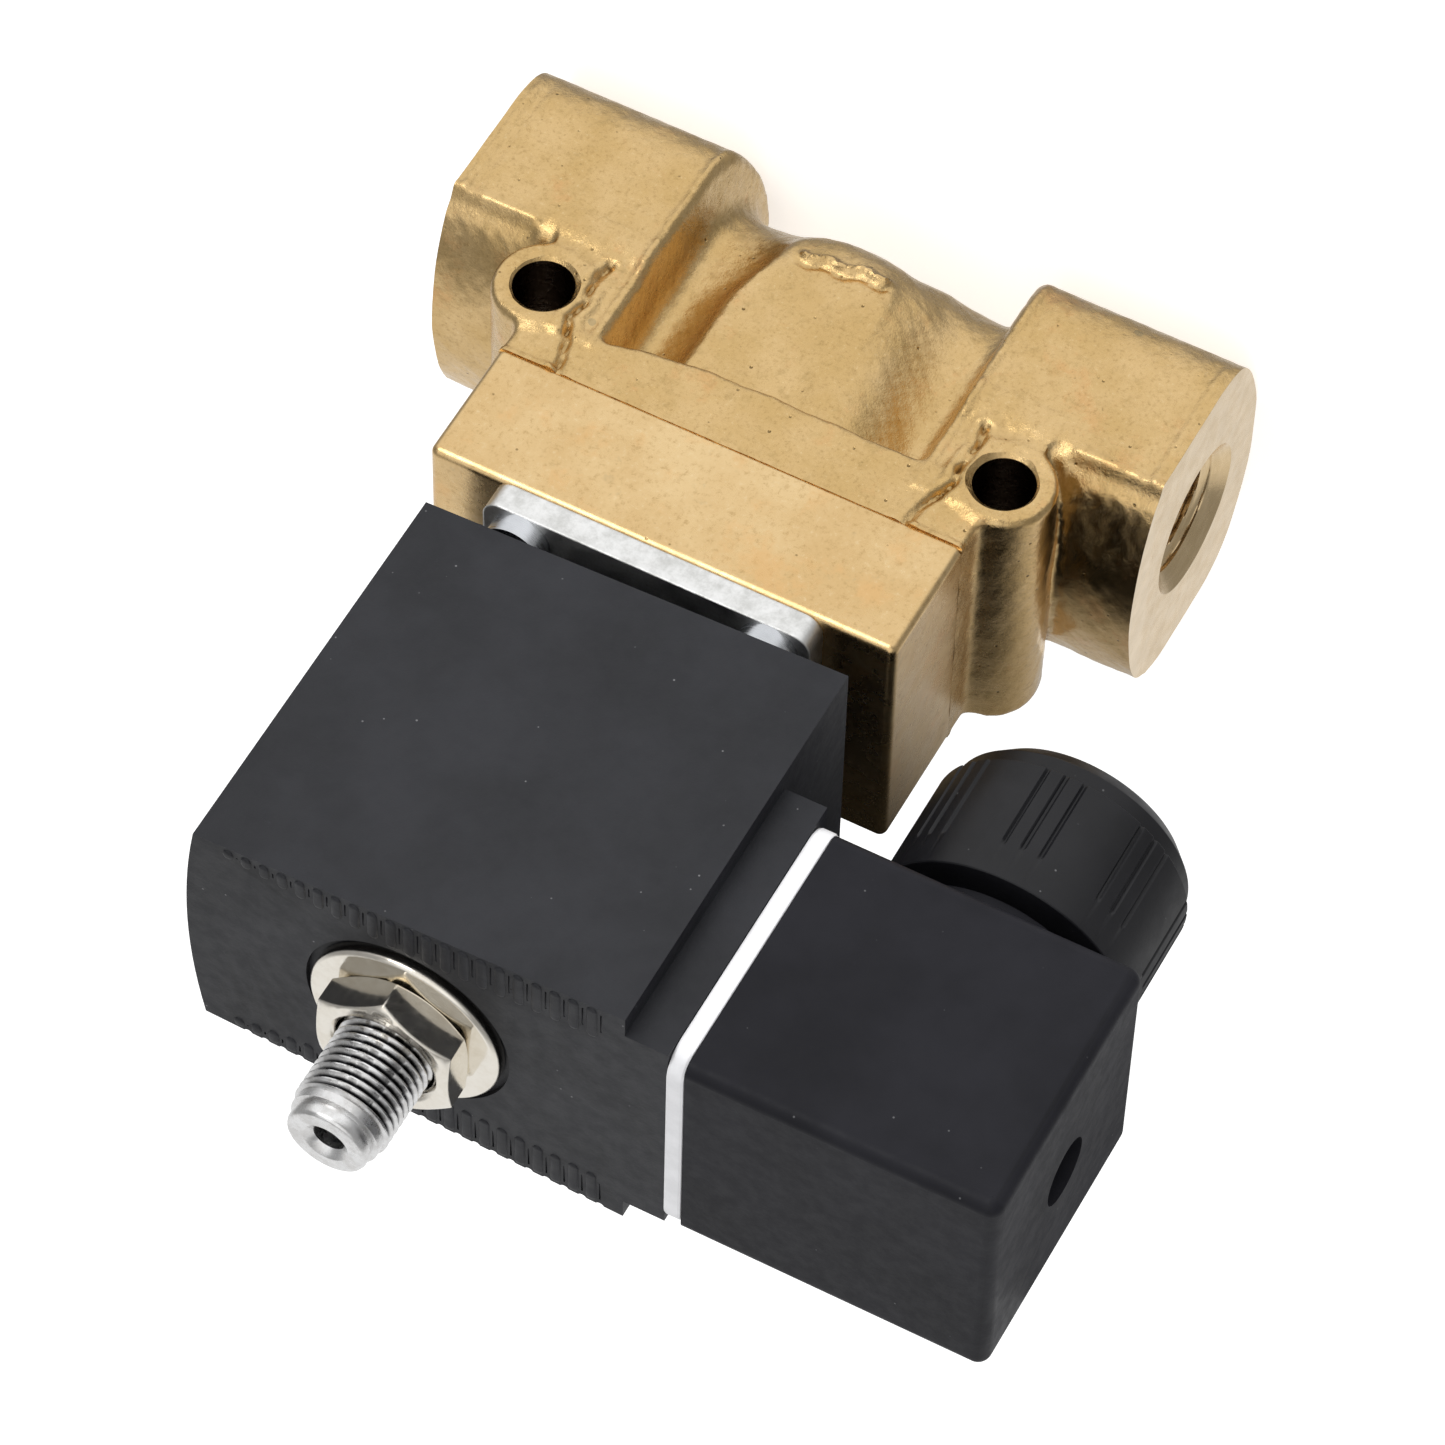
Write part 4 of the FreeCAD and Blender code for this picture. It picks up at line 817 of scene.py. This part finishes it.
def forging(x, y, z):
    """Distance field of the body as forged, before machining."""
    ax, ay = np.abs(x), np.abs(y)
    neck_radius, neck_end, draft = 10.0, 20.0, 0.04
    neck = np.maximum(np.hypot(y, z - PORT_AXIS) - neck_radius, ax - neck_end)
    web = np.maximum(ay - neck_radius + draft * (z - PORT_AXIS), ax - neck_end)
    web = np.maximum(web, PORT_AXIS - z)
    web = np.maximum(web, z - JOINT + 1.0)
    shape = np.minimum(neck, web)
    shape = blend_min(shape, dome(x, y, ay, z), 2.4 + 2.2 * fade(x, 3.0, 8.0))
    shape = blend_min(shape, port_blocks(ax, y, ay, z), 2.4)
    under = np.interp(x, *zip(*FLANGE_EDGE))
    flange = blend_max(blend_max(ax - HALF_FLANGE, ay - FLANGE_FRONT, 0.9), under - z, 0.9)
    flange = np.maximum(flange, z - JOINT - 1.0)
    reach = np.hypot(ax - HOLE_X, z)
    boss = blend_max(reach - BOSS_RADIUS, ay - FLANGE_FRONT - 0.15, 0.8)
    front = fade(ay, 14.6, 15.3)
    boss = boss - front * ridge(reach - BOSS_RADIUS + 0.7, 0.16, 0.42)
    bossed = blend_min(boss, flange, 1.2)
    shape = blend_min(shape, bossed, 0.9)
    crack = path_distance(ax, z, CRACK)
    wander = 1 + 0.35 * np.sin(x * 3.7 + z * 2.1)
    shape = shape + front * ridge(crack, 0.50, 0.36) * wander
    shape = shape - front * ridge(crack - 1.0, 0.14, 0.45)
    lip = np.interp(ax, [18.0, 19.0, 25.0], [0.0, 0.30, 0.12])
    shape = shape - front * lip * fade(z, JOINT - 0.9, JOINT - 0.5)
    swell = 0.050 * np.sin(x * 0.9 + 1.3 * np.sin(z * 0.5)) * np.sin(y * 0.7 + z * 0.6)
    grain = 0.022 * np.sin(x * 2.9 + 1.7 * np.sin(y * 1.9)) * np.sin(z * 3.1 + 1.1 * np.sin(x * 1.3))
    return shape + swell + grain


def port_cutter(side):
    """Threaded port with a chamfered mouth, as the shape that is cut away."""
    thread_depth, mouth = 0.86, 1.3
    run = thread_points(PORT_CORE + thread_depth, -PORT_DEPTH, -mouth - 0.2, PORT_PITCH)
    profile = [(0, -PORT_DEPTH)] + run + [(MOUTH_RADIUS - mouth, -mouth), (MOUTH_RADIUS, 0),
                                          (MOUTH_RADIUS, 2), (0, 2)]
    wave = thread_wave(-PORT_DEPTH, -mouth, PORT_PITCH, thread_depth, 1.2, 0.8)
    cutter = lathe(f"port_{side}", profile, 96, (0, 0, 0), "X", wave)
    turn = Matrix.Identity(4) if side > 0 else Matrix.Rotation(math.pi, 4, "Z")
    cutter.data.transform(Matrix.Translation(Vector((PORT_FACE * side, 0, PORT_AXIS)) * MM) @ turn)
    return cutter


def joint_line(side, far):
    """Shallow step along the joint face, at the front or the back."""
    height, face = 0.16, (FLANGE_FRONT - 0.25) * side
    low_y, high_y = (face, far) if side > 0 else (-far, face)
    return block("joint_line", (-far, low_y, JOINT - height), (far, high_y, JOINT + 0.5))


def bolt_hole(side, far):
    """Mounting hole along Y with its edges broken."""
    lip = 0.12
    flare = HOLE_RADIUS + lip + far - FLANGE_FRONT
    outline = [(0, -far), (flare, -far), (HOLE_RADIUS, lip - FLANGE_FRONT),
               (HOLE_RADIUS, FLANGE_FRONT - lip), (flare, far), (0, far)]
    return lathe(f"bolt_hole_{side}", outline, 96, (HOLE_X * side, 0, 0), "Y")


def machine_body(piece):
    """Cut the faces, ports, chamber, passages and holes of the body."""
    far = 60.0
    above = JOINT + 1
    groove_inner, groove_outer, groove_depth = 12.4, 14.0, 1.3
    riser_x, riser_radius = -8.9, 2.5
    screw_x, screw_y, screw_radius, screw_depth = 13.3, 12.4, 2.0, 6.5
    cuts = [block("joint_plane", (-far, -far, JOINT), (far, far, far)),
            block("outlet_plane", (PORT_FACE, -far, -far), (far, far, far)),
            block("inlet_plane", (-far, -far, -far), (-PORT_FACE, far, far)),
            block("base_plane", (-far, -far, -far), (far, far, BASE))]
    cuts += [port_cutter(1), port_cutter(-1)]
    cuts += [joint_line(side, far) for side in (-1, 1)]
    outline = [(SEAT_OUTER, CHAMBER_FLOOR), (CHAMBER, CHAMBER_FLOOR), (CHAMBER, above), (0, above),
               (0, CHAMBER_FLOOR + 6), (SEAT_OUTER, CHAMBER_FLOOR + 6)]
    cuts.append(lathe("chamber", soften(outline, 0.2, 2)))
    cuts.append(lathe("seal_groove", [(groove_inner, JOINT - groove_depth),
                                      (groove_outer, JOINT - groove_depth), (groove_outer, above),
                                      (groove_inner, above)]))
    cuts.append(rod("seat_bore", PASSAGE, PORT_AXIS, CHAMBER_FLOOR + 7))
    cuts.append(rod("outlet_way", PASSAGE, 0, PORT_FACE - 5, (0, 0, PORT_AXIS), "X"))
    cuts.append(rod("inlet_way", PASSAGE, 5 - PORT_FACE, riser_x + riser_radius, (0, 0, PORT_AXIS),
                    "X"))
    cuts.append(rod("inlet_riser", riser_radius, PORT_AXIS, CHAMBER_FLOOR + 1, (riser_x, 0, 0)))
    for sx in (-1, 1):
        cuts.append(bolt_hole(sx, far))
        for sy in (-1, 1):
            cuts.append(rod(f"tapped_{sx}_{sy}", screw_radius, JOINT - screw_depth, above,
                            (screw_x * sx, screw_y * sy, 0), "Z", 32))
    return carve(piece, cuts)


def make_body():
    """The forged body: sculpted as a distance field, meshed, then machined."""
    margin = 1.5
    step = 0.33
    piece = surface("forged_body", forging, body_low - Vector((margin,) * 3),
                    body_high + Vector((margin,) * 3), step)
    machine_body(piece)
    return stand_for(piece, "valve_body", 35)


make_body()

# ---------------------------------------------------------------- core and exhaust nipple


def make_nipple():
    """Fixed core turned in one piece with the threaded exhaust nipple."""
    top = high("core_nipple").z
    foot = low("core_nipple").z
    nut_top = high("coil_nut").z
    tube_top = high("armature_tube").z
    pitch, depth = 0.907, 0.68
    profile = [(1.65, foot), (3.6, foot), (3.6, foot + 1.5), (4.5, foot + 1.5), (4.5, foot),
               (5.58, foot), (5.58, tube_top), (5.1, tube_top + 0.2)]
    profile += thread_points(CREST, nut_top - 3.0, COLLAR - 0.25, pitch)
    tip = [(4.45, COLLAR - 0.05), (4.6, COLLAR + 0.05), (4.6, top - 1.75), (4.0, top - 1.6),
           (4.0, top - 1.15), (4.2, top - 1.05), (4.2, top - 0.45), (4.05, top - 0.12), (3.8, top),
           (2.5, top), (2.4, top - 0.02), (1.65, top - 0.75)]
    profile += tip
    wave = thread_wave(nut_top - 3.2, COLLAR - 0.2, pitch, depth, 0.9, 1.0)
    piece = lathe("turned_nipple", profile, 128, wave=wave)
    stand_for(piece, "core_nipple", 40)
    piece.data.materials[0] = threaded_steel()


make_nipple()

# ---------------------------------------------------------------- coil


def make_coil():
    """The moulded coil, with a row of ribs along both edges of its upper face."""
    piece = copy_of("coil_shell", "moulded_coil")
    top = high("coil_shell").z
    first, last, pitch, rib_radius, flatness = -18.6, 20.4, 1.9, 0.56, 0.30
    start = -0.35
    notches, ribs = [], []
    for index in range(int((last - first) / pitch) + 1):
        x = first + pitch * index
        edge = 14.85 + 1.95 * (x + 22.3) / 45.1
        length = min(1.3 + 0.34 * index, 4.6)
        for sign in (-1, 1):
            rib = lathe("rib", [(0, start - length), (0.34, start - length + 0.12),
                                (rib_radius, start - length + 0.5), (rib_radius, start - 0.5),
                                (0.44, start - 0.12), (0, start)], 16, axis="Y")
            for vertex in rib.data.vertices:
                vertex.co.z *= flatness
            notch = block("notch", (-0.09, -length * 0.8, -0.20), (0.09, -0.9, 0.5))
            for vertex in notch.data.vertices:
                if vertex.co.y < -1.0 * MM and vertex.co.z < 0:
                    vertex.co.z = -0.05 * MM
            turn = Matrix.Identity(4) if sign > 0 else Matrix.Rotation(math.pi, 4, "Z")
            home = Matrix.Translation(Vector((x, edge * sign, top)) * MM)
            rib.data.transform(home @ turn)
            notch.data.transform(Matrix.Translation(Vector((pitch / 2, 0, 0)) * MM) @ home @ turn)
            ribs.append(rib)
            notches.append(notch)
            if sign < 0:
                scallop = lathe("scallop", [(0, -1.2), (0.45, -0.3), (0.5, 0.6), (0, 0.6)], 12)
                shift = Vector((pitch / 2, 0.22 * sign, 0)) * MM
                scallop.data.transform(Matrix.Translation(shift) @ home)
                notches.append(scallop)
    carve(piece, [joined(ribs)], operation="UNION")
    carve(piece, [joined(notches)])
    return stand_for(piece, "coil_shell", 25)


def joined(pieces):
    """Several closed shapes in one mesh."""
    work = bmesh.new()
    for piece in pieces:
        work.from_mesh(piece.data)
    mesh = bpy.data.meshes.new("joined")
    work.to_mesh(mesh)
    work.free()
    for piece in pieces:
        remove(piece)
    return put_in_scene("joined", mesh)


make_coil()

# ---------------------------------------------------------------- gland nut


def make_gland_nut():
    """Cable gland nut with groups of grip grooves."""
    foot, top = low("gland_nut").z, high("gland_nut").z
    centre = (low("gland_nut").x + high("gland_nut").x) / 2
    outer = (high("gland_nut").x - low("gland_nut").x) / 2
    groove_low, groove_high = foot + 3.9, top - 3.5
    profile = soften([(5.25, foot), (10.7, foot), (12.4, foot + 1.9), (12.4, foot + 3.8),
                      (outer, foot + 3.8), (outer, top), (9.45, top), (9.45, foot + 2.2),
                      (5.25, foot + 2.2)], 0.3, 3)
    fine = []
    for (ra, za), (rb, zb) in zip(profile, profile[1:] + profile[:1]):
        steps = max(1, int(abs(zb - za) / 0.35)) if min(ra, rb) > outer - 0.1 else 1
        fine += [(ra + (rb - ra) * k / steps, za + (zb - za) * k / steps) for k in range(steps)]
    groups, lines, spread, first = 8, 3, math.radians(8.2), math.radians(90.5)
    width, depth = math.radians(0.8), 0.28

    def wave(angle, height, radius):
        sector = 2 * math.pi / groups
        local = (angle - first + sector / 2) % sector - sector / 2
        nearest = np.min([np.abs(local - (k - (lines - 1) / 2) * spread) for k in range(lines)], axis=0)
        notch = np.clip(1.6 - nearest / width, 0, 1)
        tall = np.clip((height - groove_low) / 0.5 + 1, 0, 1)
        tall = tall * np.clip((groove_high - height) / 0.5, 0, 1)
        return np.where(radius > outer - 0.31, radius - depth * notch * tall, radius)

    piece = lathe("moulded_gland_nut", fine, 720, (centre, 0, 0), wave=wave)
    return stand_for(piece, "gland_nut", 30)


make_gland_nut()

# ---------------------------------------------------------------- pieces that only need softer edges

eased("valve_cover", 0.16, "milled_cover")
eased("flange_plate", 0.25, "tumbled_plate")
eased("coil_washer", 0.12, "plated_washer")
eased("coil_nut", 0.12, "plated_nut")
eased("connector_gasket", 0.35, "soft_gasket")

# ---------------------------------------------------------------- springs


def make_spring(node, name):
    """A coil spring copied from its CAD node, with a mesh of its own."""
    piece = stand_for(copy_of(node, name), node, 35)
    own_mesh(piece)


make_spring("piston_spring", "closing_spring")
make_spring("plunger_spring", "pilot_spring")

# ---------------------------------------------------------------- floor, light and camera

AIM = Vector((0.0099, 0.0007, 0.0281))
DISTANCE = 0.6862
AZIMUTH, ELEVATION, ROLL = math.radians(17.66), math.radians(31.15), math.radians(146.65)
LENS = 179.5


def make_camera():
    """Camera in front of the valve's broad side, rolled so that the coil axis points down and left."""
    data = bpy.data.cameras.new("camera")
    data.lens = LENS
    data.sensor_width = 36.0
    camera = put_in_scene("camera", data)
    away = Vector((math.sin(AZIMUTH) * math.cos(ELEVATION), math.cos(AZIMUTH) * math.cos(ELEVATION),
                   math.sin(ELEVATION)))
    look = (-away).to_track_quat("-Z", "Y")
    camera.rotation_mode = "QUATERNION"
    camera.rotation_quaternion = Quaternion(-away, ROLL) @ look
    camera.location = AIM + away * DISTANCE
    bpy.context.scene.camera = camera


def make_floor():
    """Plain white floor under the valve; reflections don't see it."""
    size = 12.0
    level = cad_low.z
    mesh = bpy.data.meshes.new("floor")
    mesh.from_pydata([(-size, -size, level), (size, -size, level), (size, size, level),
                      (-size, size, level)], [], [(0, 1, 2, 3)])
    floor = put_in_scene("floor", mesh)
    paint = bpy.data.materials.new("floor_white")
    paint.use_nodes = True
    shader = paint.node_tree.nodes["Principled BSDF"]
    shader.inputs["Base Color"].default_value = (0.9, 0.9, 0.9, 1)
    shader.inputs["Roughness"].default_value = 0.9
    shader.inputs["Specular IOR Level"].default_value = 0.0
    shader.inputs["Emission Color"].default_value = (1, 1, 1, 1)
    shader.inputs["Emission Strength"].default_value = 0.62
    mesh.materials.append(paint)
    floor.visible_glossy = False


def make_flag():
    """Graded card behind the valve that only reflections see, with a painted shadow: its glow is dark
    beside the cover and brighter lower down and further out, as a lit table round the valve's own
    shadow.
    """
    mesh = bpy.data.meshes.new("flag")
    behind, left, right, bottom, top = -20, 12, 75, -8, 60
    corners = [(left, behind, bottom), (right, behind, bottom),
               (right, behind, top), (left, behind, top)]
    mesh.from_pydata((np.asarray(corners) * MM).tolist(), [], [(0, 1, 2, 3)])
    flag = put_in_scene("flag", mesh)
    shadow_card = Paint("flag_painted_shadow", (0.02, 0.02, 0.02), 0.0, 1.0)
    shadow_card.fixed(Specular_IOR_Level=0.0, Emission_Color=(1, 1, 1, 1))
    axes = shadow_card.axes()
    # painted shadow: glow dimmest high up beside the cover, brighter lower down and further along X
    lower = shadow_card.ramp(axes["Z"], 24.0, -8.0, 0.008, 0.55)
    outer = shadow_card.ramp(axes["X"], 38.0, 62.0, 0.0, 0.34)
    shadow_card.set("Emission Strength", shadow_card.maths("ADD", lower, outer))
    mesh.materials.append(shadow_card.material)
    flag.visible_camera = False
    flag.visible_shadow = False
    flag.visible_diffuse = False


SOFT_BOXES = [
    # direction, strength, cosine where it begins, cosine where it is full
    ((-0.22, 0.86, -0.46), 0.72, 0.42, 0.84),
    ((0.0, -1.0, 0.0), 0.55, 0.25, 0.70),
    ((0.1, 0.45, 0.90), 0.75, 0.72, 0.94),
]
AMBIENT = 0.34


def make_world():
    """Soft studio light: an even field with a few large soft boxes."""
    world = bpy.data.worlds.new("studio")
    bpy.context.scene.world = world
    world.use_nodes = True
    world.cycles.sampling_method = "NONE"
    tree = world.node_tree
    background = tree.nodes["Background"]
    background.inputs["Color"].default_value = (1.0, 1.0, 1.0, 1)
    where = tree.nodes.new("ShaderNodeTexCoord")
    total = None
    for direction, strength, begin, full in SOFT_BOXES:
        dot = tree.nodes.new("ShaderNodeVectorMath")
        dot.operation = "DOT_PRODUCT"
        dot.inputs[1].default_value = Vector(direction).normalized()
        tree.links.new(where.outputs["Generated"], dot.inputs[0])
        soft = tree.nodes.new("ShaderNodeMapRange")
        soft.interpolation_type = "SMOOTHSTEP"
        soft.inputs["From Min"].default_value = begin
        soft.inputs["From Max"].default_value = full
        soft.inputs["To Max"].default_value = strength
        tree.links.new(dot.outputs["Value"], soft.inputs["Value"])
        if total is None:
            total = soft.outputs[0]
            continue
        add = tree.nodes.new("ShaderNodeMath")
        add.operation = "ADD"
        tree.links.new(total, add.inputs[0])
        tree.links.new(soft.outputs[0], add.inputs[1])
        total = add.outputs[0]
    base = tree.nodes.new("ShaderNodeMath")
    base.operation = "ADD"
    base.inputs[1].default_value = AMBIENT
    tree.links.new(total, base.inputs[0])
    tree.links.new(base.outputs[0], background.inputs["Strength"])


def make_lamp(name, place, size, power):
    """Soft box that shines on the valve."""
    data = bpy.data.lights.new(name, "AREA")
    data.shape = "SQUARE"
    data.size = size
    data.energy = power
    lamp = put_in_scene(name, data)
    lamp.location = place
    lamp.rotation_mode = "QUATERNION"
    lamp.rotation_quaternion = (AIM - Vector(place)).to_track_quat("-Z", "Y")


make_camera()
make_floor()
make_flag()
make_world()
make_lamp("key", (-0.35, 0.95, 0.45), 0.5, 3.0)
bpy.context.scene.view_settings.view_transform = "Standard"
